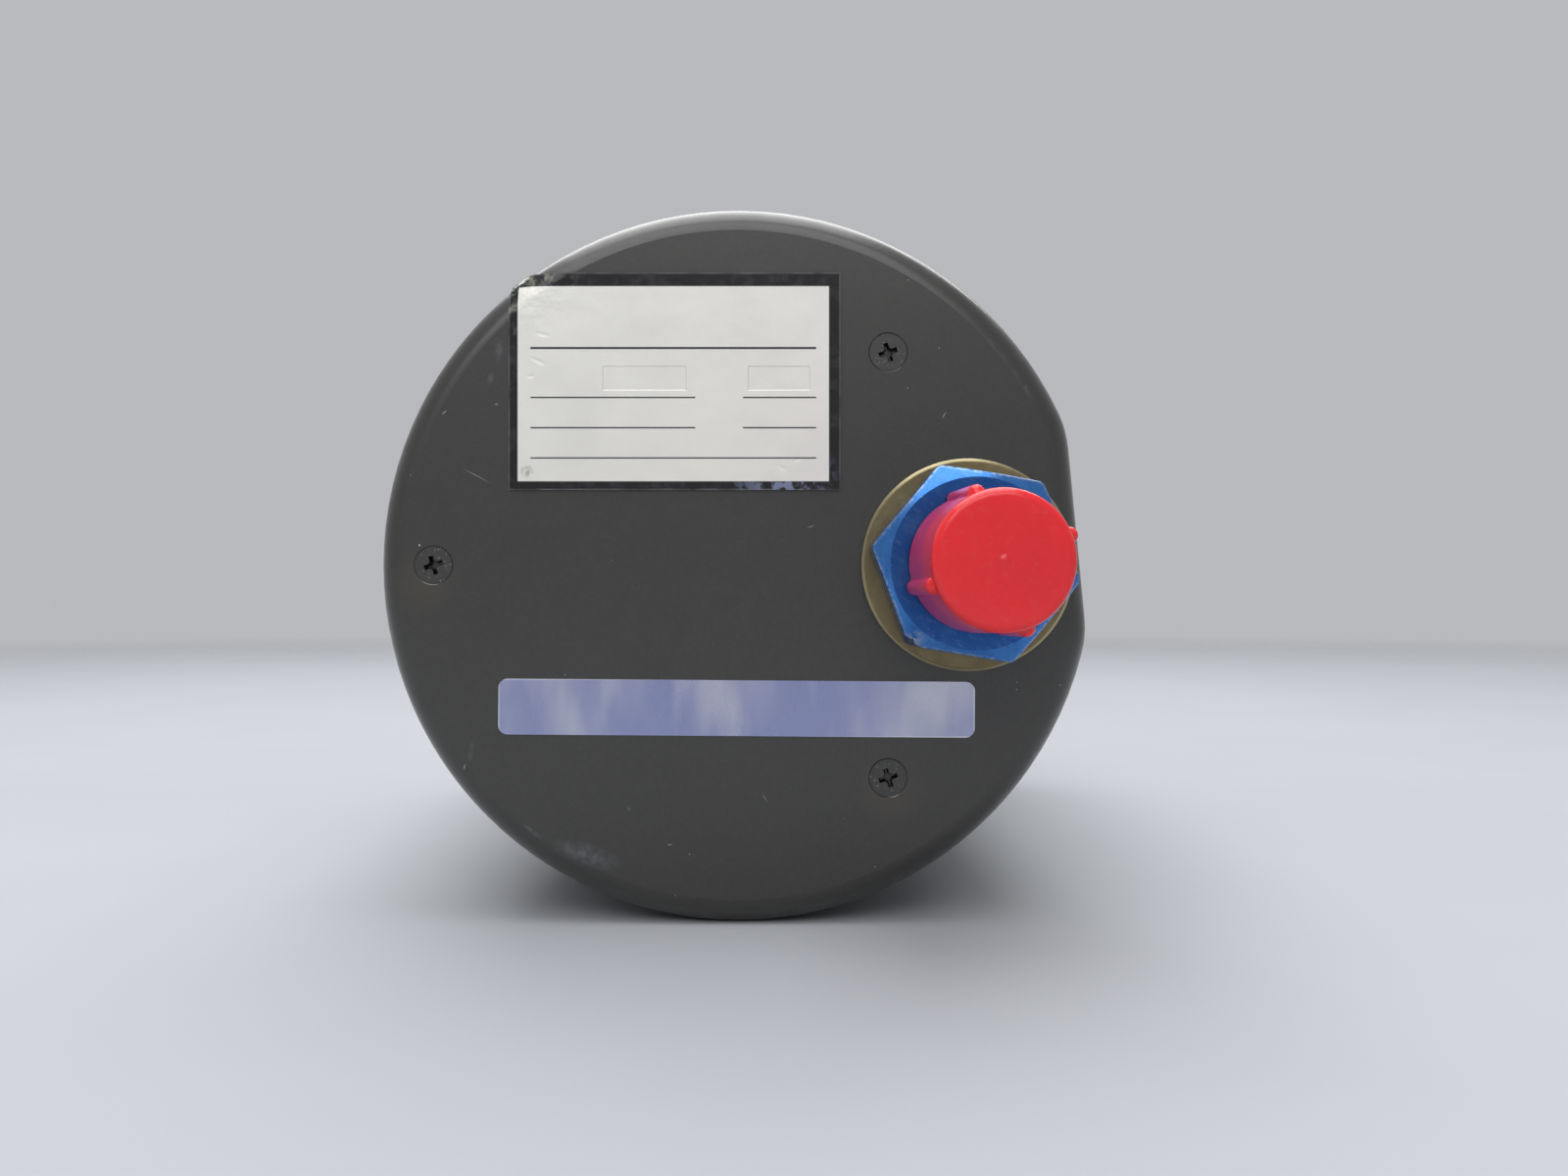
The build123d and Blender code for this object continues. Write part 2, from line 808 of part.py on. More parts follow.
def make_hairspring():
    """Flat spiral of half-circle arcs, each wider than the last by half the pitch."""
    half = hairspring_thickness / 2
    start_r = collet_r + hairspring_thickness
    end_r = start_r + hairspring_pitch * hairspring_turns
    outline = Curve()
    for side in (-half, half):
        for turn in range(2 * hairspring_turns):
            radius = start_r + hairspring_pitch * (turn + 0.5) / 2 + side
            centre_z = hairspring_pitch / 4 * (1 if turn % 2 else -1)
            outline += CenterArc((0, centre_z), radius, 90 + 180 * (turn % 2), 180)
    for radius in (start_r, end_r):
        outline += Line((0, radius - half), (0, radius + half))
    return slab(make_face(outline), hairspring_y, hairspring_y + hairspring_height)


def make_hairspring_collet():
    """Split collet that grips the staff and holds the inner end of the hairspring."""
    front = hairspring_y - collet_front
    rear = hairspring_y + hairspring_height + collet_rear
    split = Pos(-collet_r, 0) * Rectangle(2 * collet_r, collet_slot_width)
    return slab(Circle(collet_r) - Circle(staff_body_r) - split, front, rear)


def make_hairspring_stud():
    """Stud under the bridge that holds the outer end of the hairspring."""
    reach = collet_r + hairspring_thickness + hairspring_pitch * hairspring_turns
    z = reach + stud_r + hairspring_thickness / 2
    return rod(stud_r, hairspring_y - collet_front, bridge_y, 0, z)


def diaphragm_section(side):
    """Half section of a corrugated diaphragm, from its centre to its rim; side is -1 or 1 along X."""
    steps = 4 * capsule_waves
    wave = []
    for step in range(steps + 1):
        share = step / steps
        radius = capsule_centre_r + share * (capsule_wave_end_r - capsule_centre_r)
        fall = share * (capsule_centre_height - capsule_edge_height)
        ripple = capsule_wave_height * (0, 1, 0, -1)[step % 4]
        wave.append((capsule_centre_height - fall - ripple, radius))
    edges = Curve()
    for lift in (0, capsule_skin):
        curve = [(side * (height + lift), radius) for height, radius in wave]
        edges += Spline(*curve)
        edges += Line((curve[0][0], stem_bore_r), curve[0])
        edges += Line(curve[-1], (side * lift, capsule_rim_start_r))
        edges += Line((side * lift, capsule_rim_start_r), (side * lift, capsule_r))
    edges += Line((0, capsule_r), (side * capsule_skin, capsule_r))
    centre = side * capsule_centre_height
    edges += Line((centre, stem_bore_r), (centre + side * capsule_skin, stem_bore_r))
    return make_face(edges)


def make_diaphragm(side):
    """Thin corrugated disc, one half of the capsule."""
    return Pos(capsule_x, capsule_y, 0) * revolve(diaphragm_section(side), Axis.X, 360)


def make_capsule_boss():
    """Boss soldered to the moving diaphragm, with a lug and pin for the link."""
    seat = capsule_x - capsule_centre_height - capsule_skin
    front = seat - boss_thickness
    neck_end = front - boss_neck_length
    body = turned_about_x(
        [
            (seat, 0),
            (seat, boss_r),
            (front, boss_r),
            (front, boss_neck_r),
            (neck_end, boss_neck_r),
            (neck_end, 0),
        ],
        capsule_y,
    )
    lug_rear = capsule_y - link_thickness / 2 - link_gap
    sides = (-link_eye_r, link_eye_r)
    lug = block((neck_end - lug_length, neck_end + lug_bite), (lug_rear - lug_width, lug_rear), sides)
    relief = block((neck_end, front), (lug_rear, capsule_y + boss_r), sides)
    pin = rod(link_pin_r, lug_rear, capsule_y + link_pin_reach, link_pin_x(), 0)
    return body - relief + lug + pin


def link_pin_x():
    """Place of the link's pin on the boss."""
    neck_end = capsule_x - capsule_centre_height - capsule_skin - boss_thickness - boss_neck_length
    return neck_end - lug_length / 2


def make_link():
    """Flat link from the boss to the rocking arm, with a slotted eye at the arm."""
    right = link_pin_x()
    length = right - rocking_x
    strip = Pos((right + rocking_x) / 2, 0) * Rectangle(length, link_width)
    eyes = Pos(right, 0) * Circle(link_eye_r) + Pos(rocking_x, 0) * Circle(link_eye_r)
    slot_width = 2 * (arm_pin_r + running_fit)
    slot = Pos(rocking_x, 0) * Rot(0, 0, 90) * SlotOverall(slot_width + 2 * eye_slot_rise, slot_width)
    outline = strip + eyes - slot - Pos(right, 0) * Circle(link_pin_r)
    half = link_thickness / 2
    return slab(outline, capsule_y - half, capsule_y + half)


def block_front_x():
    """Face of the bracket's block that the capsule stem enters."""
    return capsule_x + capsule_centre_height + capsule_skin + stem_flange + block_gap


def make_capsule_stem():
    """Bored stem soldered to the fixed diaphragm and screwed into the bracket."""
    seat = capsule_x + capsule_centre_height + capsule_skin
    end = block_front_x() + block_depth - stem_end_wall
    return turned_about_x(
        [
            (seat, stem_bore_r),
            (seat, stem_flange_r),
            (seat + stem_flange, stem_flange_r),
            (seat + stem_flange, stem_r),
            (end, stem_r),
            (end, stem_bore_r),
        ],
        capsule_y,
    )


def make_capsule_bracket():
    """Milled bracket: block for the stem, web and foot on the middle plate."""
    front_x = block_front_x()
    rear_x = front_x + block_depth
    half = bracket_width / 2
    head = (capsule_y - block_height / 2, capsule_y + block_height / 2)
    body = block((front_x, rear_x), head, (-half, half))
    body += block((rear_x - bracket_web, rear_x), (capsule_y, middle_plate_y), (-half, half))
    foot_half = bracket_foot_width / 2
    foot_left = bracket_screw_x - bracket_foot_reach
    body += block((foot_left, rear_x), (foot_front_y, middle_plate_y), (-foot_half, foot_half))
    stem_depth = block_depth - stem_end_wall
    stem_hole = Pos(front_x, capsule_y, 0) * Rot(0, 90, 0) * Cylinder(stem_r, 2 * stem_depth)
    body -= stem_hole
    body -= upright_rod(tube_r + push_fit, front_x + block_depth / 2, capsule_y, -half, 0)
    for z in (-bracket_screw_z, bracket_screw_z):
        body -= rod(screw_r + push_fit, foot_front_y, middle_plate_y, bracket_screw_x, z)
    return body


def cheese_head_screw(x, z, seat_y, length, direction):
    """Slotted screw whose head sits on a face and whose shank runs along the direction."""
    head_end = seat_y - direction * screw_head_height
    low = min(seat_y, head_end)
    body = rod(screw_head_r, low, low + screw_head_height, x, z)
    tip = seat_y + direction * length
    body += rod(screw_r, min(seat_y, tip), max(seat_y, tip), x, z)
    slot_bottom = head_end + direction * screw_slot_depth
    slot = Pos(x, z) * Rectangle(3 * screw_head_r, screw_slot_width)
    return body - slab(slot, min(head_end, slot_bottom), max(head_end, slot_bottom))


def make_movement_screws():
    """All the cheese-head screws of the movement."""
    screws = []
    for x, z in bezel_screw_places():
        length = plate_screw_length + plate_thickness - end_gap
        screws.append(cheese_head_screw(x, z, front_plate_rear, length, -1))
    for z in (-bridge_foot_z, bridge_foot_z):
        screws.append(cheese_head_screw(0, z, front_plate_y, bridge_screw_length, 1))
    for z in (-bracket_screw_z, bracket_screw_z):
        length = bracket_foot_thickness + plate_thickness
        screws.append(cheese_head_screw(bracket_screw_x, z, foot_front_y, length, 1))
    for x in pump_places:
        for z in (-pump_screw_z, pump_screw_z):
            screws.append(cheese_head_screw(x, z, middle_plate_y, pump_screw_length, 1))
    for offset in (-manifold_screw_offset, manifold_screw_offset):
        length = manifold_depth + plate_thickness
        screws.append(cheese_head_screw(port_x + offset, 0, manifold_rear, length, -1))
    return group(screws)


def plate_windows(angles):
    """Curved lightening windows."""
    windows = Sketch()
    for angle in angles:
        middle = CenterArc((0, 0), window_r, angle - window_sweep / 2, window_sweep)
        windows += SlotArc(middle, window_width)
    return windows


def make_front_plate():
    """Front plate of the movement, screwed to the bezel's spigot."""
    outline = Circle(front_plate_r) - plate_windows((60.0, 330.0))
    for x, z in bezel_screw_places():
        outline -= Pos(x, z) * Circle(screw_r + push_fit)
    for x, z in post_places:
        outline -= Pos(x, z) * Circle(post_stud_r + push_fit)
    for x, z in dial_screw_places():
        outline -= Pos(x, z) * Circle(pillar_stud_r)
    for z in (-bridge_foot_z, bridge_foot_z):
        outline -= Pos(0, z) * Circle(screw_r + push_fit)
    outline -= Pos(adjuster_x, adjuster_z) * Circle(adjuster_r + adjuster_hole_gap)
    outline -= Pos(lever_pivot_x, lever_pivot_z) * Circle(screw_r)
    body = slab(outline, front_plate_y, front_plate_rear)
    body -= rod(jewel_r, front_plate_rear - jewel_depth, front_plate_rear)
    body -= rod(staff_body_r, front_plate_y, front_plate_rear)
    return body - rod(jewel_r, front_plate_rear - jewel_depth, front_plate_rear, rocking_x, rocking_z)


def make_middle_plate():
    """Plate that carries the capsule bracket in front and the pumps behind."""
    outline = Circle(inner_plate_r) - plate_windows((70.0, 290.0))
    for x, z in post_places:
        outline -= Pos(x, z) * Circle(post_stud_r + push_fit)
    for z in (-bracket_screw_z, bracket_screw_z):
        outline -= Pos(bracket_screw_x, z) * Circle(screw_r + push_fit)
    for x in pump_places:
        for z in (-pump_screw_z, pump_screw_z):
            outline -= Pos(x, z) * Circle(screw_r + push_fit)
    tube_x = block_front_x() + block_depth / 2
    outline -= Pos(tube_x, capsule_tube_z) * Circle(tube_r + tube_hole_gap)
    body = slab(outline, middle_plate_y, middle_plate_rear)
    return body - rod(jewel_r, middle_plate_y, middle_plate_y + jewel_depth, rocking_x, rocking_z)


def make_base_plate():
    """Rear plate of the movement, which carries the manifold."""
    outline = Circle(inner_plate_r) - plate_windows((70.0, 290.0))
    for x, z in post_places:
        outline -= Pos(x, z) * Circle(post_stud_r + push_fit)
    for offset in (-manifold_screw_offset, manifold_screw_offset):
        outline -= Pos(port_x + offset, 0) * Circle(screw_r + push_fit)
    outline -= Pos(inlet_tube_x, -port_z) * Circle(tube_r + tube_hole_gap)
    return slab(outline, base_plate_y, base_plate_rear)


def post(x, z, front, rear, stud_front, hole_r, hole_depth):
    """Round post with a stud in front and a tapped hole behind."""
    body = rod(post_r, front, rear, x, z) + rod(post_stud_r, stud_front, front, x, z)
    return body - rod(hole_r, rear - hole_depth, rear, x, z)


def make_front_posts():
    """Three long posts from the front plate to the middle plate."""
    hole_r = post_stud_r + push_fit
    depth = post_stud_reach + end_gap
    return group(
        post(x, z, front_plate_rear, middle_plate_y, front_plate_y + end_gap, hole_r, depth)
        for x, z in post_places
    )


def make_middle_posts():
    """Three posts from the middle plate to the base plate, screwed into the front ones."""
    hole_r = post_stud_r + push_fit
    depth = post_stud_reach + end_gap
    return group(
        post(x, z, middle_plate_rear, base_plate_y, middle_plate_y - post_stud_reach, hole_r, depth)
        for x, z in post_places
    )


def make_rear_posts():
    """Three short posts that meet the end of the can and take the rear screws."""
    hole_r = screw_r + push_fit
    return group(
        post(x, z, base_plate_rear, end_inner_y, base_plate_y - post_stud_reach, hole_r, rear_screw_length)
        for x, z in post_places
    )


def ring_seal(inner_r, outer_r, y, x=0.0):
    """Round-section ring seal squeezed between two radii."""
    section = Pos((inner_r + outer_r) / 2, y) * Circle((outer_r - inner_r) / 2)
    return Pos(x, 0, 0) * revolve(section, Axis.Y, 360)


def make_case_seal():
    """Ring seal in the groove of the spigot."""
    middle = flange_depth + seal_groove_inset + seal_groove_width / 2
    return ring_seal(spigot_r - seal_groove_depth, can_inner_r, middle)


def make_case_can():
    """Deep can with a rounded end, a long flat, screw countersinks and the port hole."""
    outer = flattened_cylinder(case_r, flange_depth, case_end_y, 0.0, end_edge_r)
    inner = flattened_cylinder(can_inner_r, flange_depth, end_inner_y, can_wall, end_inner_edge_r)
    body = outer - inner
    for x, z in post_places:
        body -= flat_head(x, z, case_end_y, -1, rear_head_gap)
        body -= rod(screw_r + loose_fit, end_inner_y, case_end_y, x, z)
    return body - rod(port_neck_r + loose_fit, end_inner_y, case_end_y, port_x, 0)


def make_rear_screws():
    """Three countersunk screws with a tapered cross recess, their heads just below the can's face."""
    cross = Rectangle(recess_length, recess_width) + Rectangle(recess_width, recess_length)
    cross = Rot(0, 0, recess_turn) * (cross + Circle(recess_core_r))
    head_y = case_end_y - rear_head_sink
    screws = []
    for x, z in post_places:
        body = flat_head(x, z, head_y, -1)
        body += rod(screw_r, case_end_y - rear_screw_length, head_y - flat_head_height, x, z)
        plane = Plane(origin=(x, head_y, z), x_dir=(1, 0, 0), z_dir=(0, -1, 0))
        screws.append(body - extrude(plane * cross, amount=recess_depth, taper=recess_taper))
    return group(screws)


def make_data_plate():
    """Thin plate laid on the end of the can, with one corner pressed down over its rounded edge."""
    front = case_end_y - end_edge_r
    low = front - end_edge_r
    layers = []
    for lift in (data_plate_thickness, 0):
        outer_r = case_r + lift
        rear = case_end_y + lift
        corners = [(0, low), (outer_r, low), (outer_r, rear), (0, rear)]
        layers.append(turned(corners, [0, 0, end_edge_r + lift, 0]))
    width = plate_right - plate_left
    height = plate_top - plate_bottom
    outline = Pos((plate_right + plate_left) / 2, (plate_top + plate_bottom) / 2) * Rectangle(width, height)
    return (layers[0] - layers[1]) & slab(outline, front, case_end_y + data_plate_thickness)


def make_foil_strip():
    """Thin foil strip with rounded corners."""
    place = Pos(strip_left + strip_width / 2, strip_top - strip_height / 2) * Rot(0, 0, -strip_turn)
    outline = place * RectangleRounded(strip_width, strip_height, strip_corner_r)
    return slab(outline, case_end_y, case_end_y + strip_thickness)


def make_port_fitting():
    """Flanged fitting that passes through the can and plugs into the manifold."""
    thread_floor = flange_top_y - port_thread_depth
    groove_top = case_end_y + port_groove_depth
    seal_front = tail_seal_y - tail_seal_width / 2
    seal_rear = tail_seal_y + tail_seal_width / 2
    return turned(
        [
            (port_bore_r, port_tail_end_y),
            (port_tail_r, port_tail_end_y),
            (port_tail_r, seal_front),
            (port_tail_r - tail_seal_depth, seal_front),
            (port_tail_r - tail_seal_depth, seal_rear),
            (port_tail_r, seal_rear),
            (port_tail_r, port_shoulder_y),
            (port_neck_r, port_shoulder_y),
            (port_neck_r, case_end_y),
            (port_groove_r, case_end_y),
            (port_groove_r, groove_top),
            (port_groove_r + port_groove_width, groove_top),
            (port_groove_r + port_groove_width, case_end_y),
            (port_flange_r, case_end_y),
            (port_flange_r, flange_top_y - port_flange_chamfer),
            (port_flange_r - port_flange_chamfer, flange_top_y),
            (port_thread_r, flange_top_y),
            (port_thread_r, thread_floor),
            (port_bore_r, thread_floor),
        ],
        x=port_x,
    )


def make_port_seal():
    """Ring seal pressed between the flange and the can."""
    middle_r = port_groove_r + port_groove_width / 2
    half = port_groove_depth / 2
    return ring_seal(middle_r - half, middle_r + half, case_end_y + half, port_x)


def make_port_nut():
    """Thin nut that clamps the fitting from inside the can."""
    hexagon = RegularPolygon(port_nut_across / 2, 6, major_radius=False) - Circle(port_neck_r)
    return slab(Pos(port_x, 0) * hexagon, end_inner_y - port_nut_thickness, end_inner_y)


def make_manifold():
    """Block on the base plate that shares the port's air between the pump line and the leak."""
    half_width = manifold_width / 2
    half_height = manifold_height / 2
    x_range = (port_x - half_width, port_x + half_width)
    body = block(x_range, (base_plate_rear, manifold_rear), (-half_height, half_height))
    body = fillet(body.edges().filter_by(Axis.Y), manifold_edge_r)
    body -= rod(port_tail_r + push_fit, manifold_bore_end_y, manifold_rear, port_x, 0)
    for offset in (-manifold_screw_offset, manifold_screw_offset):
        body -= rod(screw_r + push_fit, base_plate_rear, manifold_rear, port_x + offset, 0)
    port_y = base_plate_rear + manifold_depth / 2
    body -= upright_rod(tube_r + push_fit, inlet_tube_x, port_y, -half_height, 0)
    return body - upright_rod(leak_thread_r, port_x, port_y, 0, half_height)


def make_manifold_seal():
    """Ring seal on the tail of the fitting."""
    return ring_seal(port_tail_r - tail_seal_depth, port_tail_r + push_fit, tail_seal_y, port_x)


def make_leak_restrictor():
    """Calibrated leak: a plug with a fine nozzle, through which the case fills and empties."""
    base = manifold_height / 2
    top = base + leak_height
    return turned_about_z(
        [
            (leak_bore_r, base - leak_thread_length),
            (leak_thread_r, base - leak_thread_length),
            (leak_thread_r, base),
            (leak_r, base),
            (leak_r, top - leak_cone),
            (leak_nozzle_r, top),
            (leak_nozzle_r, top + leak_nozzle_height),
            (leak_bore_r, top + leak_nozzle_height),
        ],
        port_x,
        base_plate_rear + manifold_depth / 2,
    )


def make_pump_body(centre_x, port_sides):
    """Pump cylinder with its mounting pad and one side port near each end that is used."""
    tall = 2 * pump_half_height
    body = Pos(centre_x, pump_y, 0) * Cylinder(pump_r, tall)
    half = pump_pad_width / 2
    pad_half = pump_pad_height / 2
    body += block((centre_x - half, centre_x + half), (middle_plate_rear, pump_y), (-pad_half, pad_half))
    body -= Pos(centre_x, pump_y, 0) * Cylinder(pump_bore_r, tall)
    for side, height in port_sides:
        hole = Rot(0, 90, 0) * Cylinder(tube_r + push_fit, pump_r)
        body -= Pos(centre_x + side * pump_r, pump_y, height) * hole
    hole_end = middle_plate_y + pump_screw_length + end_gap
    for z in (-pump_screw_z, pump_screw_z):
        body -= rod(screw_r + push_fit, middle_plate_rear, hole_end, centre_x, z)
    return body


def make_pump_lids():
    """Four plugged lids, one at each end of each pump."""
    lids = []
    face = pump_half_height
    for centre_x in pump_places:
        for way in (-1, 1):
            points = [
                (0, way * (face - lid_plug)),
                (pump_bore_r - push_fit, way * (face - lid_plug)),
                (pump_bore_r - push_fit, way * face),
                (pump_r, way * face),
                (pump_r, way * (face + lid_thickness)),
                (0, way * (face + lid_thickness)),
            ]
            lids.append(turned_about_z(points, centre_x, pump_y))
    return group(lids)


def make_pump_piston(centre_x):
    """Brass piston with a land at each end and a relieved waist."""
    half = piston_height / 2
    land_r = pump_bore_r - slide_fit
    waist_r = land_r - piston_waist
    return turned_about_z(
        [
            (0, -half),
            (land_r, -half),
            (land_r, -half + piston_land),
            (waist_r, -half + piston_land),
            (waist_r, half - piston_land),
            (land_r, half - piston_land),
            (land_r, half),
            (0, half),
        ],
        centre_x,
        pump_y,
    )


def make_pump_spring(centre_x):
    """Coil spring that holds the piston at mid height."""
    low = -pump_half_height + lid_plug + pump_spring_wire_r
    high = -piston_height / 2 - pump_spring_wire_r
    pitch = (high - low) / pump_spring_turns
    path = Helix(pitch, high - low, pump_spring_r)
    start = Plane(origin=path @ 0, z_dir=path % 0)
    wire = sweep(start * RegularPolygon(pump_spring_wire_r, 6), path=path)
    return Pos(centre_x, pump_y, low) * wire


def tube(points, radii):
    """Drawn tube along straight runs joined by tangent bends."""
    path = FilletPolyline(*points, radius=radii) if radii else Line(*points)
    plane = Plane(origin=path @ 0, z_dir=path % 0)
    return sweep(plane * (Circle(tube_r) - Circle(tube_bore_r)), path=path)


def make_inlet_tube():
    """From the manifold to the foot of the first pump."""
    start_y = base_plate_rear + manifold_depth / 2
    wall_x = pump_places[0] - pump_r
    points = [
        (inlet_tube_x, start_y, -manifold_height / 2 + tube_seat),
        (inlet_tube_x, start_y, -port_z),
        (inlet_tube_x, pump_y, -port_z),
        (wall_x + tube_seat, pump_y, -port_z),
    ]
    return tube(points, [tube_bend_r, wall_x - inlet_tube_x - tube_straight])


def make_crossover_tube():
    """Short straight tube between the tops of the two pumps."""
    left = pump_places[0] + pump_r - tube_seat
    right = pump_places[1] - pump_r + tube_seat
    return tube([(left, pump_y, port_z), (right, pump_y, port_z)], None)


def make_capsule_tube():
    """From the foot of the second pump, through the middle plate, to the capsule's bracket."""
    end_x = block_front_x() + block_depth / 2
    wall_x = pump_places[1] + pump_r
    points = [
        (wall_x - tube_seat, pump_y, capsule_tube_z),
        (end_x, pump_y, capsule_tube_z),
        (end_x, capsule_y, capsule_tube_z),
        (end_x, capsule_y, -bracket_width / 2 + tube_seat),
    ]
    return tube(points, [tube_bend_r, tube_bend_r])


def make_adapter():
    """Hose adapter: threaded shank, chamfered hexagon and a flared nipple, bored through."""
    hexagon = Rot(0, 0, 210 - adapter_turn) * RegularPolygon(adapter_across / 2, 6, major_radius=False)
    prism = slab(Pos(port_x, 0) * hexagon, flange_top_y, hex_top_y)
    corner_r = adapter_across / math.sqrt(3)
    drop = (corner_r - adapter_chamfer_r) * math.tan(math.radians(adapter_chamfer_slope))
    prism &= turned(
        [
            (0, flange_top_y),
            (adapter_chamfer_r, flange_top_y),
            (corner_r, flange_top_y + drop),
            (corner_r, hex_top_y - drop),
            (adapter_chamfer_r, hex_top_y),
            (0, hex_top_y),
        ],
        x=port_x,
    )
    nipple_end = hex_top_y + nipple_length
    cone_start = nipple_end - nipple_cone_length
    nipple = turned(
        [
            (0, hex_top_y),
            (nipple_relief_r, hex_top_y),
            (nipple_relief_r, hex_top_y + nipple_relief),
            (nipple_r, hex_top_y + 2 * nipple_relief),
            (nipple_r, cone_start - nipple_relief),
            (nipple_cone_r, cone_start),
            (nipple_mouth_r, nipple_end),
            (0, nipple_end),
        ],
        x=port_x,
    )
    shank = rod(port_thread_r - push_fit, flange_top_y - adapter_shank_length, flange_top_y, port_x, 0)
    bore = rod(port_bore_r, flange_top_y - adapter_shank_length, nipple_end, port_x, 0)
    return prism + nipple + shank - bore


def cap_rib(angle):
    """Round-backed rib up the side of the cap, with a round end, leaning in with the taper."""
    half = cap_rib_width / 2
    rib_end_y = cap_top_y - cap_rib_end_gap - half
    foot_x, foot_z = polar(cap_rib_base_r - half, angle)
    end_x, end_z = polar(cap_rib_end_r - half, angle)
    foot = Vector(foot_x, cap_base_y, foot_z)
    top = Vector(end_x, rib_end_y, end_z)
    along = top - foot
    plane = Plane(origin=foot - along.normalized() * half, z_dir=along)
    full = along.length + half
    bar = plane * Cylinder(half, full, align=(Align.CENTER, Align.CENTER, Align.MIN))
    rib = bar + Pos(top) * Sphere(half)
    return rib & rod(2 * cap_rib_base_r, cap_base_y, cap_top_y)


def make_cap():
    """Moulded thread cap with a rounded top edge and four ribs."""
    points = [(0, cap_base_y), (cap_base_r, cap_base_y), (cap_top_r, cap_top_y), (0, cap_top_y)]
    body = turned(points, [0, 0, cap_edge_r, 0])
    for rib in range(cap_ribs):
        body += cap_rib(180 - cap_rib_turn - rib * 360 / cap_ribs)
    body = Pos(port_x, 0, 0) * body
    return body - rod(nipple_r + slide_fit, cap_base_y, cap_top_y - cap_top_wall, port_x, 0)


def make_zero_adjuster():
    """Slotted spindle through the bezel with an eccentric pin at its rear."""
    head_front = -ring_height + loose_fit
    head_rear = -ring_height + adjuster_head_depth + loose_fit
    rear = lever_y - running_fit
    body = rod(adjuster_head_r, head_front, head_rear, adjuster_x, adjuster_z)
    body += rod(adjuster_r, head_rear, rear, adjuster_x, adjuster_z)
    pin_x = adjuster_x - eccentric * lever_direction[0]
    pin_z = adjuster_z - eccentric * lever_direction[1]
    body += rod(eccentric_r, rear, rear + eccentric_length, pin_x, pin_z)
    slot = Pos(adjuster_x, adjuster_z) * Rectangle(3 * adjuster_head_r, adjuster_slot_width)
    return body - slab(slot, head_front, head_front + adjuster_slot_depth)


def lever_tail_end():
    """Place of the spring post at the end of the lever's tail."""
    return (
        lever_pivot_x - lever_tail * lever_direction[0],
        lever_pivot_z - lever_tail * lever_direction[1],
    )


def make_zero_lever():
    """Straight lever: a slotted end at the eccentric pin, a hub and a tail with the spring post."""
    pivot = Pos(lever_pivot_x, lever_pivot_z) * Rot(0, 0, lever_angle)
    length = lever_reach + lever_tail
    bar = Pos((lever_reach - lever_tail) / 2, 0) * SlotOverall(length + lever_width, lever_width)
    end = Pos(lever_reach, 0) * Circle(lever_end_r)
    slot_width = 2 * (eccentric_r + lever_slot_play)
    slot = Pos(lever_reach, 0) * SlotOverall(slot_width + 2 * lever_slot_run, slot_width)
    outline = Circle(lever_hub_r) + bar + end - slot - Circle(lever_pivot_r + running_fit)
    outline = pivot * outline
    rear = lever_y + lever_thickness
    post_end = rear + zero_spring_height + 2 * loose_fit
    return slab(outline, lever_y, rear) + rod(spring_post_r, rear, post_end, *lever_tail_end())


def make_zero_pivot():
    """Shouldered stud that the zero lever turns on."""
    lever_rear = lever_y + lever_thickness + loose_fit
    return turned(
        [
            (0, front_plate_y + end_gap),
            (screw_r, front_plate_y + end_gap),
            (screw_r, front_plate_rear),
            (lever_shoulder_r, front_plate_rear),
            (lever_shoulder_r, lever_y - loose_fit),
            (lever_pivot_r, lever_y - loose_fit),
            (lever_pivot_r, lever_rear),
            (lever_pivot_head_r, lever_rear),
            (lever_pivot_head_r, lever_rear + lever_pivot_head_height),
            (0, lever_rear + lever_pivot_head_height),
        ],
        x=lever_pivot_x,
        z=lever_pivot_z,
    )


def make_zero_spring():
    """Bowed leaf spring from the lever's post to the peg of the sector."""
    tail_x, tail_z = lever_tail_end()
    front = lever_y + lever_thickness + loose_fit
    start = (tail_x - spring_post_r, tail_z)
    end = (rocking_x + zero_spring_overlap, rocking_z - peg_distance - peg_r - zero_spring_thickness)
    strip = trace(SagittaArc(start, end, zero_spring_bow), line_width=zero_spring_thickness)
    return slab(strip, front, front + zero_spring_height)


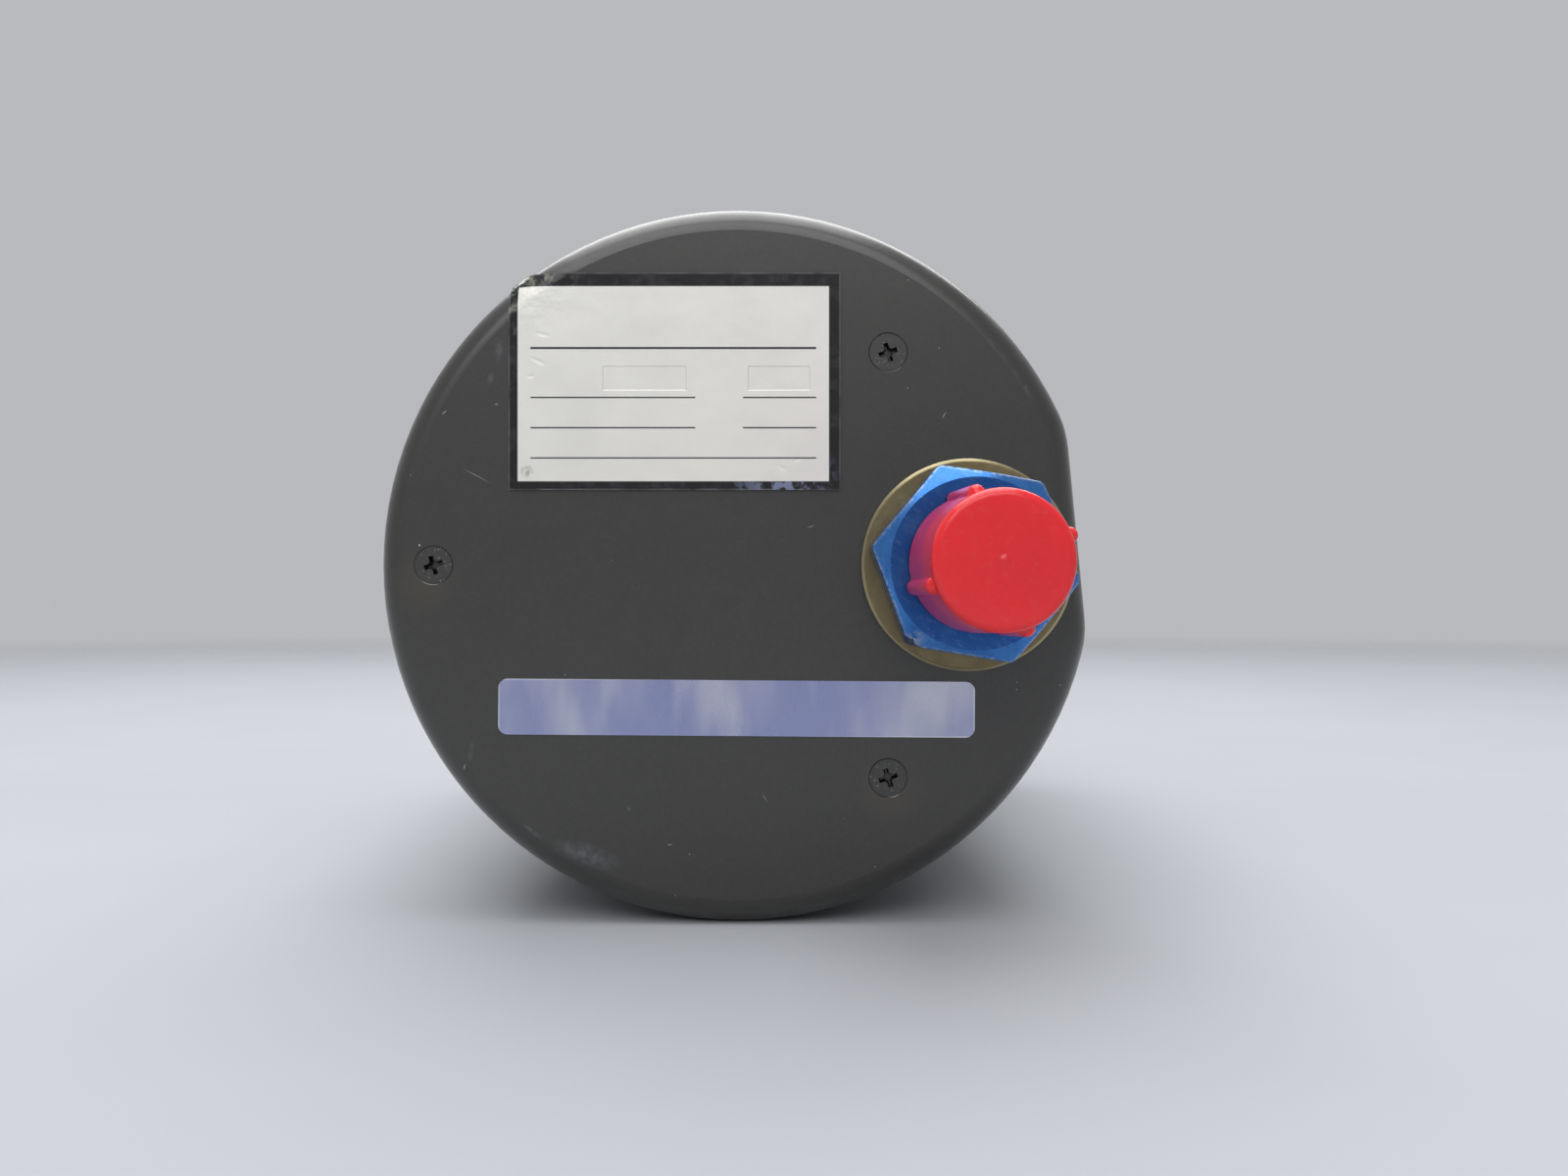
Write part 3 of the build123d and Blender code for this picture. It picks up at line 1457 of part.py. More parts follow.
nodes = {
    "bezel": make_bezel(),
    "panel_inserts": make_panel_inserts(),
    "glass_gasket": make_glass_gasket(),
    "glass": make_glass(),
    "retaining_ring": make_retaining_ring(),
    "dial": make_dial(),
    "dial_screws": make_dial_screws(),
    "dial_pillars": make_dial_pillars(),
    "pointer": make_pointer(),
    "front_plate": make_front_plate(),
    "middle_plate": make_middle_plate(),
    "base_plate": make_base_plate(),
    "front_posts": make_front_posts(),
    "middle_posts": make_middle_posts(),
    "rear_posts": make_rear_posts(),
    "movement_screws": make_movement_screws(),
    "staff_bridge": make_staff_bridge(),
    "jewel_bushes": make_jewel_bushes(),
    "pointer_staff": make_pointer_staff(),
    "hairspring": make_hairspring(),
    "hairspring_collet": make_hairspring_collet(),
    "hairspring_stud": make_hairspring_stud(),
    "sector": make_sector(),
    "rocking_shaft": make_rocking_shaft(),
    "rocking_arm": make_rocking_arm(),
    "link": make_link(),
    "capsule_boss": make_capsule_boss(),
    "capsule_front": make_diaphragm(-1),
    "capsule_rear": make_diaphragm(1),
    "capsule_stem": make_capsule_stem(),
    "capsule_bracket": make_capsule_bracket(),
    "capsule_tube": make_capsule_tube(),
    "crossover_tube": make_crossover_tube(),
    "inlet_tube": make_inlet_tube(),
    "manifold": make_manifold(),
    "manifold_seal": make_manifold_seal(),
    "leak_restrictor": make_leak_restrictor(),
    "pump_lids": make_pump_lids(),
    "zero_adjuster": make_zero_adjuster(),
    "zero_lever": make_zero_lever(),
    "zero_pivot": make_zero_pivot(),
    "zero_spring": make_zero_spring(),
    "case_seal": make_case_seal(),
    "case_can": make_case_can(),
    "rear_screws": make_rear_screws(),
    "data_plate": make_data_plate(),
    "foil_strip": make_foil_strip(),
    "port_fitting": make_port_fitting(),
    "port_seal": make_port_seal(),
    "port_nut": make_port_nut(),
    "adapter": make_adapter(),
    "cap": make_cap(),
}
pump_ports = ([(-1, -port_z), (1, port_z)], [(-1, port_z), (1, capsule_tube_z)])
for number, (pump_x, ports) in enumerate(zip(pump_places, pump_ports), start=1):
    nodes[f"pump_{number}_body"] = make_pump_body(pump_x, ports)
    nodes[f"pump_{number}_piston"] = make_pump_piston(pump_x)
    nodes[f"pump_{number}_spring"] = make_pump_spring(pump_x)

os.makedirs("parts", exist_ok=True)
for name, shape in nodes.items():
    export_step(shape, f"parts/{name}.step")
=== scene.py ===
"""Looks of a panel-mounted vertical speed indicator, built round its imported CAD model.

Places and sizes are in millimetres in the model's own frame: the dial faces -Y, the port end faces +Y
and Z is up. add_piece turns them to metres.
"""

import functools
import math

import bpy
import numpy as np
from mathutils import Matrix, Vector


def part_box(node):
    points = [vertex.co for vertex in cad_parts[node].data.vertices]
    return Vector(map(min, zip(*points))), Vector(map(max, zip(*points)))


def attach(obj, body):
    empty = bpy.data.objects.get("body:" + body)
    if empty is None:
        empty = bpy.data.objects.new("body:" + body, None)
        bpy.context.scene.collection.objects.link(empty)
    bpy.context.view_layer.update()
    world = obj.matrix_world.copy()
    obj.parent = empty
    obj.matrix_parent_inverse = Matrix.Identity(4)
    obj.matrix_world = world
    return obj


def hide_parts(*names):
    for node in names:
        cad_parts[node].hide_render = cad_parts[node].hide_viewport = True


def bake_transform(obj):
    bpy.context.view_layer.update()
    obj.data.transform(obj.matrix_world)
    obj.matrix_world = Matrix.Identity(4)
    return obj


bl_info = {
    "name": "Vertical speed indicator",
    "version": (1, 0, 0),
    "blender": (4, 5, 0),
    "location": "View3D > Sidebar > Indicator",
    "description": "Finishes, dial marks, threads and studio for a round panel instrument",
    "category": "Object",
}

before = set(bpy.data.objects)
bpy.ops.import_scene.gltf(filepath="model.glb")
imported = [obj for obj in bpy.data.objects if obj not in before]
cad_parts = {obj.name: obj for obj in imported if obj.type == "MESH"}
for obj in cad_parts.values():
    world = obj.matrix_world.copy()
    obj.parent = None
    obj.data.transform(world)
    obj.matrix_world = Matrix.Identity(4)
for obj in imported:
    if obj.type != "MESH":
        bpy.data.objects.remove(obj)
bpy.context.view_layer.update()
MM = 0.001


def cad_range(name, axis):
    """Lowest and highest value of a CAD node along an axis (0, 1 or 2), in millimetres."""
    low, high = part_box(name)
    return low[axis] / MM, high[axis] / MM


CASE_END = cad_range("case_can", 1)[1]
FLANGE_TOP = cad_range("port_fitting", 1)[1]
PORT_X = sum(cad_range("port_fitting", 0)) / 2
ADAPTER_FRONT, ADAPTER_END = cad_range("adapter", 1)
CAP_TOP = cad_range("cap", 1)[1]
DIAL_FACE = cad_range("dial", 1)[0]
PLATE_FACE = cad_range("data_plate", 1)[1]

# Print: its thickness, the widths of the ticks, and the font's size and boldness for capitals of height one
PRINT_THICKNESS = 0.03
LONG_TICK_WIDTH = 0.9
SHORT_TICK_WIDTH = 0.42
FONT_SIZE = 1.36
FONT_BOLDNESS = 0.012
PLATE_INK_THICKNESS = 0.02

# Panel inserts, tapped for a number 6 screw with 32 threads to the inch
INSERT_RADIUS = 2.6
INSERT_COLLAR_RADIUS = 3.4
INSERT_COLLAR_DEPTH = 1.0
INSERT_MOUTH_RADIUS = 1.85
INSERT_THREAD_RADIUS = 1.78
INSERT_THREAD_DEPTH = 0.4
INSERT_PITCH = 0.794

# Pump springs
COIL_RADIUS = 4.6
COIL_WIRE_RADIUS = 0.35
COIL_TURNS = 6

# Floor: its rings and thickness, and where the instrument stands on it
FLOOR_RINGS = (60.0, 300, 1200, 4000, 9000)
FLOOR_THICKNESS = 20
FLOOR_GAP = 0.02
FLANGE_REAR = 10.5
END_EDGE_RADIUS = 2.8

# Floor's fade, and the camera's sensor (in millimetres) and nearest view; the others are in metres
FLOOR_FADE = (0.25, 1.5)
SENSOR_WIDTH = 36
NEAREST_VIEW = 0.01

# Soft boxes: name, power setting, width and depth, place, and the point they face, in metres
LAMPS = (
    ("top_soft_box", "key_power", (1.0, 0.9), (0.1, 0.14, 0.97), (0.0, 0.14, 0.0)),
    ("rear_soft_box", "rear_power", (1.4, 0.6), (0.0, -0.62, 0.92), (0.0, 0.08, 0.0)),
    ("front_soft_box", "fill_power", (0.9, 0.6), (0.12, 0.9, 0.62), (0.0, 0.12, 0.0)),
)

# Marks on the lacquer: X and Z of the middle, half length, half width, turn in degrees, and whether it is
# a smudge with soft edges rather than a clean line.
SCUFFS = (
    (26.2, 23.7, 1.5, 0.6, 90, True), (27.0, 20.4, 0.9, 0.4, 70, True), (32.1, 16.7, 0.4, 0.10, 40, False),
    (28.6, 9.8, 2.0, 0.05, -28, False), (26.4, 17.6, 0.22, 0.12, 0, False),
    (29.2, -20.4, 1.3, 0.35, 82, True), (29.9, -22.1, 0.42, 0.10, 75, False),
    (16.5, -31.7, 4.4, 1.4, -17, True), (22.4, -29.2, 1.6, 0.3, -38, True),
    (7.4, -30.6, 0.36, 0.07, 8, False), (11.9, -26.7, 0.3, 0.3, 0, True), (-8.0, 4.2, 0.5, 0.06, 15, False),
    (-3.0, -25.5, 0.6, 0.05, -60, False), (-22.6, 16.4, 0.5, 0.08, 60, False),
)

# Legends on the dial: words, height, and X and Z of the middle.
LEGENDS = (
    ("UP", 2.3, (-13.2, 4.3)), ("DOWN", 2.3, (-12.4, -4.3)),
    ("VERTICAL", 2.0, (2.0, 11.4)), ("SPEED", 2.0, (2.0, 8.0)),
    ("100 FEET", 1.6, (2.0, -8.0)), ("PER MINUTE", 1.6, (2.0, -10.9)),
)

# Lines ruled on the data plate: both ends, height and width.
PLATE_LINES = (
    (-8.6, 22.6, 23.7, 0.22), (4.6, 22.6, 18.3, 0.14), (-8.6, -0.6, 18.3, 0.14),
    (4.6, 22.6, 15.0, 0.14), (-8.6, -0.6, 15.0, 0.14), (-8.6, 22.6, 11.7, 0.14),
)

# Dents in the data plate: X and Z of the middle, half length, half width, turn in degrees.
DENTS = (
    (21.3, 25.2, 0.9, 0.3, -15), (21.8, 22.3, 1.0, 0.3, -25), (22.6, 20.6, 0.5, 0.25, 10),
    (-6.6, 11.6, 0.7, 0.3, 40), (-4.9, 10.6, 0.5, 0.3, -30),
)


def linear(code):
    """Linear colour of an sRGB hex code."""
    parts = [int(code[start : start + 2], 16) / 255 for start in (1, 3, 5)]
    return [part / 12.92 if part <= 0.04045 else ((part + 0.055) / 1.055) ** 2.4 for part in parts]


def shade(tint):
    """Colour with full alpha, from an sRGB hex code or from three linear parts."""
    return (*(linear(tint) if isinstance(tint, str) else tint), 1.0)


def colour(label, text, code):
    """Colour property with an sRGB hex default."""
    return bpy.props.FloatVectorProperty(
        name=label, description=text, subtype="COLOR", size=3, min=0, max=1, default=linear(code)
    )


def length(label, text, value):
    """Length property whose default is given in millimetres."""
    return bpy.props.FloatProperty(
        name=label, description=text, unit="LENGTH", subtype="DISTANCE", min=0, default=value * MM
    )


def lamp_power(label, text, watts):
    """Property for a lamp's power."""
    return bpy.props.FloatProperty(
        name=label, description=text, subtype="POWER", unit="POWER", default=watts
    )


def factor(label, text, value):
    """Property for a strength between 0 and 1."""
    return bpy.props.FloatProperty(
        name=label, description=text, subtype="FACTOR", min=0, max=1, default=value
    )


class IndicatorColours(bpy.types.PropertyGroup):
    """Colours of the finishes that show from outside."""

    lacquer: colour("Case lacquer", "Satin lacquer on the drawn can", "#23221f")
    bezel: colour("Bezel paint", "Matt paint on the cast bezel", "#1d1d1e")
    chromate: colour("Port flange", "Yellow chromate on the port fitting", "#877857")
    anodised: colour("Hose adapter", "Blue anodising on the hose adapter", "#2d5fa6")
    cap: colour("Thread cap", "Red moulded cap", "#f2282f")
    plate: colour("Data plate field", "Silver field of the data plate", "#eeece5")
    strip: colour("Foil strip", "Metallised strip", "#b3b6cc")
    marks: colour("Dial marks", "White print of the dial and the pointer", "#e8e6de")


class IndicatorDial(bpy.types.PropertyGroup):
    """Sizes of the print on the dial."""

    full_scale: bpy.props.IntProperty(
        name="Full scale", description="Largest value each way, in hundreds of feet per minute", default=30
    )
    sweep: bpy.props.FloatProperty(
        name="Sweep",
        description="Angle from zero to full scale",
        subtype="ANGLE",
        default=math.radians(172),
    )
    outer_radius: length("Scale radius", "Outer ends of the ticks", 30.6)
    long_tick: length("Long tick", "Length of the ticks at each fifth value", 4.6)
    short_tick: length("Short tick", "Length of the other ticks", 2.6)
    numeral_height: length("Numeral height", "Size of the large numerals", 5.6)
    numeral_radius: length("Numeral radius", "Distance of the numerals from the centre", 21.6)


class IndicatorAdapter(bpy.types.PropertyGroup):
    """Sizes of the hose adapter."""

    across_flats: length("Across flats", "Width of the hexagon", 19.05)
    hexagon_height: length("Hexagon height", "Thickness of the hexagon", 6.4)
    chamfer_radius: length("Chamfer radius", "Radius where the corner chamfer starts", 8.95)
    thread_pitch: length("Thread pitch", "Pitch of the nipple's thread", 1.27)
    thread_radius: length("Thread radius", "Outer radius of the nipple's thread", 5.55)
    thread_depth: length("Thread depth", "Height of the thread", 0.72)


class IndicatorStage(bpy.types.PropertyGroup):
    """Camera, lamps and floor."""

    camera_place: bpy.props.FloatVectorProperty(
        name="Camera place",
        description="Where the photograph was taken from",
        subtype="TRANSLATION",
        size=3,
        default=(-0.00509, 0.259, -0.00251),
    )
    lens: bpy.props.FloatProperty(name="Lens", description="Focal length", unit="CAMERA", default=29.16)
    sky: factor("Sky", "Strength of the even light all round", 0.34)
    backdrop: factor("Backdrop", "Strength of the plain backdrop, seen directly and in reflections", 0.56)
    key_power: lamp_power("Key power", "Soft box overhead, in watts", 8.5)
    rear_power: lamp_power("Rear power", "Soft strip behind the dial", 7.5)
    fill_power: lamp_power("Fill power", "Soft box above the camera", 3.6)
    floor: colour("Floor", "Pale floor", "#b4b7bc")


def node(tree, kind, inputs=None, **settings):
    """Adds a node with its settings. Each input takes a value, or an output to be linked from."""
    made = tree.nodes.new(kind)
    for name, value in settings.items():
        setattr(made, name, value)
    for key, value in (inputs or {}).items():
        if isinstance(value, bpy.types.NodeSocket):
            tree.links.new(value, made.inputs[key])
        else:
            made.inputs[key].default_value = value
    return made


class Finish:
    """A material under construction: its node tree, Principled shader and Object coordinates.

    A mask is 1 where a mark is and 0 elsewhere. Sizes are in millimetres.
    """

    def __init__(self, name, **constants):
        self.material = bpy.data.materials.new(name)
        self.material.use_nodes = True
        self.tree = self.material.node_tree
        self.tree.nodes.clear()
        inputs = {key.replace("_", " "): value for key, value in constants.items()}
        self.surface = node(self.tree, "ShaderNodeBsdfPrincipled", inputs)
        node(self.tree, "ShaderNodeOutputMaterial", {"Surface": self.surface.outputs["BSDF"]})
        self.place = node(self.tree, "ShaderNodeTexCoord").outputs["Object"]

    def patches(self, size, low=0.3, high=0.7, detail=4.0, place=None):
        """Cloudy mask: noise whose features have a size, with low made 0 and high made 1."""
        inputs = {"Vector": place or self.place, "Scale": 1 / (size * MM), "Detail": detail}
        noise = node(self.tree, "ShaderNodeTexNoise", inputs)
        return node(self.tree, "ShaderNodeMapRange", {0: noise.outputs[0], 1: low, 2: high}).outputs[0]

    def specks(self, spacing, radius, share):
        """Mask of round dots: one in each cell of a random grid, kept in only a share of the cells."""
        cells = node(self.tree, "ShaderNodeTexVoronoi", {"Vector": self.place, "Scale": 1 / (spacing * MM)})
        reach = radius / spacing
        dot = node(self.tree, "ShaderNodeMapRange", {0: cells.outputs[0], 1: reach, 2: reach * 0.5})
        chance = node(self.tree, "ShaderNodeSeparateColor", {0: cells.outputs[1]})
        kept = node(self.tree, "ShaderNodeMath", {0: chance.outputs[0], 1: share}, operation="LESS_THAN")
        return self.times(dot.outputs[0], kept.outputs[0])

    def hairlines(self, run, gap, width, turn=0.0):
        """Mask of fine scratches: contour lines of a noise drawn out along X, which is turned about Y."""
        turned = node(self.tree, "ShaderNodeMapping", {"Vector": self.place, "Rotation": (0, turn, 0)})
        scale = [1 / (size * MM) for size in (run, gap, gap)]
        drawn = node(self.tree, "ShaderNodeMapping", {0: turned.outputs[0], "Scale": scale})
        inputs = {"Vector": drawn.outputs[0], "Scale": 1.0, "Detail": 3.0}
        noise = node(self.tree, "ShaderNodeTexNoise", inputs).outputs[0]
        return node(self.tree, "ShaderNodeMath", {0: noise, 1: 0.5, 2: width}, operation="COMPARE").outputs[0]

    def lathe_rings(self, radius, spacing):
        """Wave from -1 to 1 across the rings a tool leaves: the sine of a whole turn each spacing."""
        turns = self.times(radius, math.tau / (spacing * MM))
        return node(self.tree, "ShaderNodeMath", {0: turns}, operation="SINE").outputs[0]

    def spot(self, centre, inner, outer):
        """Round mask about a point: 1 inside the inner radius and 0 outside the outer one."""
        inputs = {0: self.place, 1: [value * MM for value in centre]}
        away = node(self.tree, "ShaderNodeVectorMath", inputs, operation="DISTANCE").outputs["Value"]
        return self.band(away, outer, inner)

    def stroke(self, x, z, reach, width, degrees):
        """Mask of one mark on the end face: an ellipse with half sizes, turned from +X towards -Z."""
        inputs = {
            "Vector": self.place,
            "Location": (x * MM, CASE_END * MM, z * MM),
            "Rotation": (0, math.radians(degrees), 0),
            "Scale": (reach * MM, 0.05, width * MM),
        }
        inside = node(self.tree, "ShaderNodeMapping", inputs, vector_type="TEXTURE").outputs[0]
        away = node(self.tree, "ShaderNodeVectorMath", {0: inside}, operation="LENGTH").outputs["Value"]
        return node(self.tree, "ShaderNodeMapRange", {0: away, 1: 1.0, 2: 0.3}).outputs[0]

    def inside_box(self, x_range, z_range):
        """Mask of a rectangle on the end face, soft over a tenth of a millimetre."""
        parts = node(self.tree, "ShaderNodeSeparateXYZ", {0: self.place})
        sides, soft = [], 0.05
        for output, (low, high) in ((0, x_range), (2, z_range)):
            inputs = {0: parts.outputs[output], 1: (low + high) / 2 * MM}
            centred = node(self.tree, "ShaderNodeMath", inputs, operation="SUBTRACT").outputs[0]
            away = node(self.tree, "ShaderNodeMath", {0: centred}, operation="ABSOLUTE").outputs[0]
            sides.append(self.band(away, (high - low) / 2 + soft, (high - low) / 2 - soft))
        return self.times(*sides)

    def axis_distance(self, x=0.0, z=0.0):
        """Distance from a line along Y, in metres."""
        inputs = {"Vector": self.place, "Location": (-x * MM, 0, -z * MM), "Scale": (1, 0, 1)}
        moved = node(self.tree, "ShaderNodeMapping", inputs).outputs[0]
        return node(self.tree, "ShaderNodeVectorMath", {0: moved}, operation="LENGTH").outputs["Value"]

    def along(self, axis):
        """Place along X, Y or Z (0, 1 or 2), in metres."""
        return node(self.tree, "ShaderNodeSeparateXYZ", {0: self.place}).outputs[axis]

    def band(self, value, start, end):
        """Mask that rises from 0 to 1 as a length goes from one value to another."""
        return node(self.tree, "ShaderNodeMapRange", {0: value, 1: start * MM, 2: end * MM}).outputs[0]

    def times(self, mask, *others):
        """Product of masks and numbers: what lies in all of them."""
        for other in others:
            mask = node(self.tree, "ShaderNodeMath", {0: mask, 1: other}, operation="MULTIPLY").outputs[0]
        return mask

    def any_of(self, mask, *others):
        """Largest of some masks: what lies in any of them."""
        for other in others:
            mask = node(self.tree, "ShaderNodeMath", {0: mask, 1: other}, operation="MAXIMUM").outputs[0]
        return mask

    def outside(self, mask):
        """One less a mask: what lies outside it."""
        return node(self.tree, "ShaderNodeMath", {0: 1.0, 1: mask}, operation="SUBTRACT").outputs[0]

    def paint(self, base, *layers):
        """Colours the surface. A layer is a mask and the colour that it lets through, and may end with a
        number that weakens it."""
        base = shade(base)
        for mask, over, *strength in layers:
            inputs = {0: self.times(mask, *strength), 6: base, 7: shade(over)}
            base = node(self.tree, "ShaderNodeMix", inputs, data_type="RGBA").outputs[2]
        self.tree.links.new(base, self.surface.inputs["Base Color"])

    def spread(self, mask, low, high, name="Roughness"):
        """Makes an input of the shader, its roughness as a rule, run from low to high with a mask."""
        value = node(self.tree, "ShaderNodeMapRange", {0: mask, 3: low, 4: high}).outputs[0]
        self.tree.links.new(value, self.surface.inputs[name])

    def relief(self, *heights):
        """Raises the surface by masks, each with a height."""
        normal = None
        for mask, height in heights:
            inputs = {"Height": mask, "Distance": height * MM, "Strength": 1.0}
            if normal:
                inputs["Normal"] = normal
            normal = node(self.tree, "ShaderNodeBump", inputs).outputs[0]
        self.tree.links.new(normal, self.surface.inputs["Normal"])


def chosen(name):
    """Colour that the add-on's settings give a finish."""
    return getattr(bpy.context.scene.indicator_colours, name)


def lacquered_can():
    """Drawn aluminium sprayed with satin olive-black lacquer: cloudy, with an orange-peel skin, specks of
    dust, a rubbed rim and the can's own scuffs."""
    look = Finish(
        "satin_lacquer_on_drawn_aluminium",
        Specular_IOR_Level=0.4,
        Coat_Weight=0.8,
        Coat_Roughness=0.24,
        Coat_IOR=1.55,
    )
    radius = look.axis_distance()
    rim = look.times(
        look.band(radius, 38.0, 39.4),
        look.band(look.along(1), 117.6, 119.2),
        look.patches(2.4, 0.52, 0.64),
    )
    smudges, lines = [], []
    for *ellipse, soft in SCUFFS:
        mark = look.stroke(*ellipse)
        if soft:
            smudges.append(look.times(mark, look.patches(1.0, 0.34, 0.66)))
        else:
            lines.append(mark)
    look.paint(
        chosen("lacquer"),
        (look.patches(26.0), "#272622"),
        (look.patches(0.45, 0.45, 0.7), "#34322d", 0.3),
        (look.patches(2.4, 0.54, 0.66), "#201f1d", 0.35),
        (look.spot((34.2, CASE_END, -1.8), 1.5, 4.2), "#4a3f2d", 0.3),
        (look.spot((-16.7, CASE_END, -24.8), 1.5, 4.2), "#4a3f2d", 0.3),
        (rim, "#5d5c58", 0.35),
        (look.any_of(*smudges), "#6f757e", 0.42),
        (look.any_of(*lines), "#94948e", 0.8),
        (look.specks(1.7, 0.08, 0.2), "#98948a"),
        (look.specks(4.3, 0.14, 0.2), "#b5b1a4"),
        (look.specks(5.1, 0.2, 0.12), "#1c1b1a"),
    )
    look.spread(look.patches(6.0), 0.38, 0.47)
    look.relief(
        (look.patches(0.4, 0.2, 0.8), 0.008),
        (look.patches(9.0, 0.2, 0.8), 0.05),
        (look.specks(4.1, 0.22, 0.12), -0.03),
    )
    return look.material


def lacquered_screw():
    """Screw heads sprayed with the case: chipped to brown steel in places, the tan flecks partly painted
    glints; the cross and the gap below the head's face are painted near black, as dirt and painted shade.
    """
    look = Finish(
        "satin_lacquer_on_steel", Specular_IOR_Level=0.4, Coat_Weight=0.8, Coat_Roughness=0.3, Coat_IOR=1.55
    )
    # Tan flecks: chips of bare steel, partly painted glints.
    chips_and_glints = look.times(look.patches(0.3, 0.62, 0.68), 0.6)
    look.paint(
        chosen("lacquer"),
        (chips_and_glints, "#8b8374"),
        # Everything deeper than the head's face, the cross and the gap, is painted near black: dirt and
        # painted shade.
        (look.band(look.along(1), CASE_END - 0.09, CASE_END - 0.15), "#070707"),
    )
    look.spread(look.patches(0.8), 0.38, 0.5)
    look.relief((look.patches(0.4), 0.01))
    return look.material


def bezel_paint():
    """Die-cast alloy with matt black paint: fine wrinkle, slightly greyer where hands rub the corners."""
    look = Finish("matt_paint_on_die_casting")
    radius = look.axis_distance()
    corner = look.times(look.band(radius, 50.5, 54.0), look.patches(1.6, 0.5, 0.6))
    look.paint(
        chosen("bezel"),
        (look.patches(12.0), "#222223"),
        (corner, "#58585a", 0.4),
        (look.specks(3.0, 0.08, 0.05), "#77767a"),
    )
    look.spread(look.patches(4.0), 0.52, 0.66)
    look.relief((look.patches(0.35, 0.2, 0.8), 0.02))
    return look.material


def black_oxide():
    """Turned steel with black oxide: dark satin, with the recess edges polished by the driver."""
    look = Finish("black_oxide_on_steel", Metallic=0.6)
    rubbed = look.times(look.patches(0.35, 0.55, 0.62), look.band(look.along(1), -2.6, -3.3))
    look.paint("#3a3a39", (look.patches(1.2, 0.35, 0.65), "#454340"), (rubbed, "#9a958a", 0.6))
    look.spread(look.patches(0.8), 0.38, 0.55)
    look.relief((look.patches(0.3), 0.01))
    return look.material


def yellow_chromate():
    """Turned aluminium with a yellow chromate coat: brownish gold with fine lathe rings."""
    look = Finish("yellow_chromate_on_turned_aluminium", Metallic=1.0)
    radius = look.axis_distance(PORT_X)
    groove = look.lathe_rings(radius, 0.28)
    look.paint(
        chosen("chromate"),
        (look.patches(7.0), "#766a50"),
        (look.patches(1.6, 0.5, 0.7), "#9a8c66", 0.3),
        # The flange's outer edge is painted lighter: a painted highlight.
        (look.band(radius, 11.15, 11.35), "#c6bd98", 0.6),
        (look.specks(1.9, 0.10, 0.08), "#57513c"),
    )
    look.spread(look.patches(2.0), 0.34, 0.46)
    look.relief((groove, 0.0014), (look.patches(0.5), 0.008))
    return look.material


def blue_anodising():
    """Machined aluminium, blue anodised, the edges worn to bright metal where the dye is thin; the chamfered
    corners are painted lighter blue as a painted reflection, and lighter patches on the faces are painted
    sheen.
    """
    look = Finish("blue_anodising_on_machined_aluminium")
    wear = node(look.tree, "ShaderNodeAttribute", attribute_name="wear").outputs["Fac"]
    radius = look.axis_distance(PORT_X)
    groove = look.lathe_rings(radius, 0.22)
    bare = look.times(wear, look.patches(0.5, 0.40, 0.56))
    # Chamfered corners beyond the chamfer's start radius are painted lighter blue: a painted reflection.
    chamfer = look.times(look.band(radius, 8.92, 9.0), look.patches(2.2, 0.1, 0.5))
    look.paint(
        chosen("anodised"),
        (look.patches(5.0), "#254f92"),
        # Broad lighter blue patches are painted sheen.
        (look.patches(3.0, 0.5, 0.75), "#4a7ab6", 0.5),
        (chamfer, "#437dc3", 0.9),
        (look.hairlines(4.0, 0.5, 0.008, 0.6), "#86aedb", 0.2),
        (bare, "#c3cad4"),
    )
    look.spread(bare, 0.9, 1.0, "Metallic")
    look.spread(look.patches(2.5), 0.22, 0.32)
    look.relief((groove, 0.0007), (look.patches(0.8), 0.002))
    return look.material


def red_polyethylene():
    """Injection-moulded polyethylene: glossy red, with light that travels a little way inside."""
    look = Finish(
        "moulded_red_polyethylene",
        IOR=1.51,
        Subsurface_Weight=0.3,
        Subsurface_Radius=(1.0, 0.25, 0.2),
        Subsurface_Scale=0.0025,
    )
    look.paint(
        chosen("cap"),
        (look.patches(6.0), "#e92630"),
        # Towards the base the red is painted darker purple: the blue adapter painted in as if seen through
        # the skirt.
        (look.band(look.along(1), CAP_TOP - 4.5, CAP_TOP - 9.0), "#a32560", 0.45),
        (look.patches(0.8, 0.55, 0.7), "#ea5554", 0.25),
    )
    look.spread(look.patches(2.0), 0.18, 0.27)
    gate = look.spot((PORT_X, CAP_TOP, 0), 0.2, 0.55)
    look.relief((look.patches(1.2), 0.02), (gate, 0.14))
    return look.material


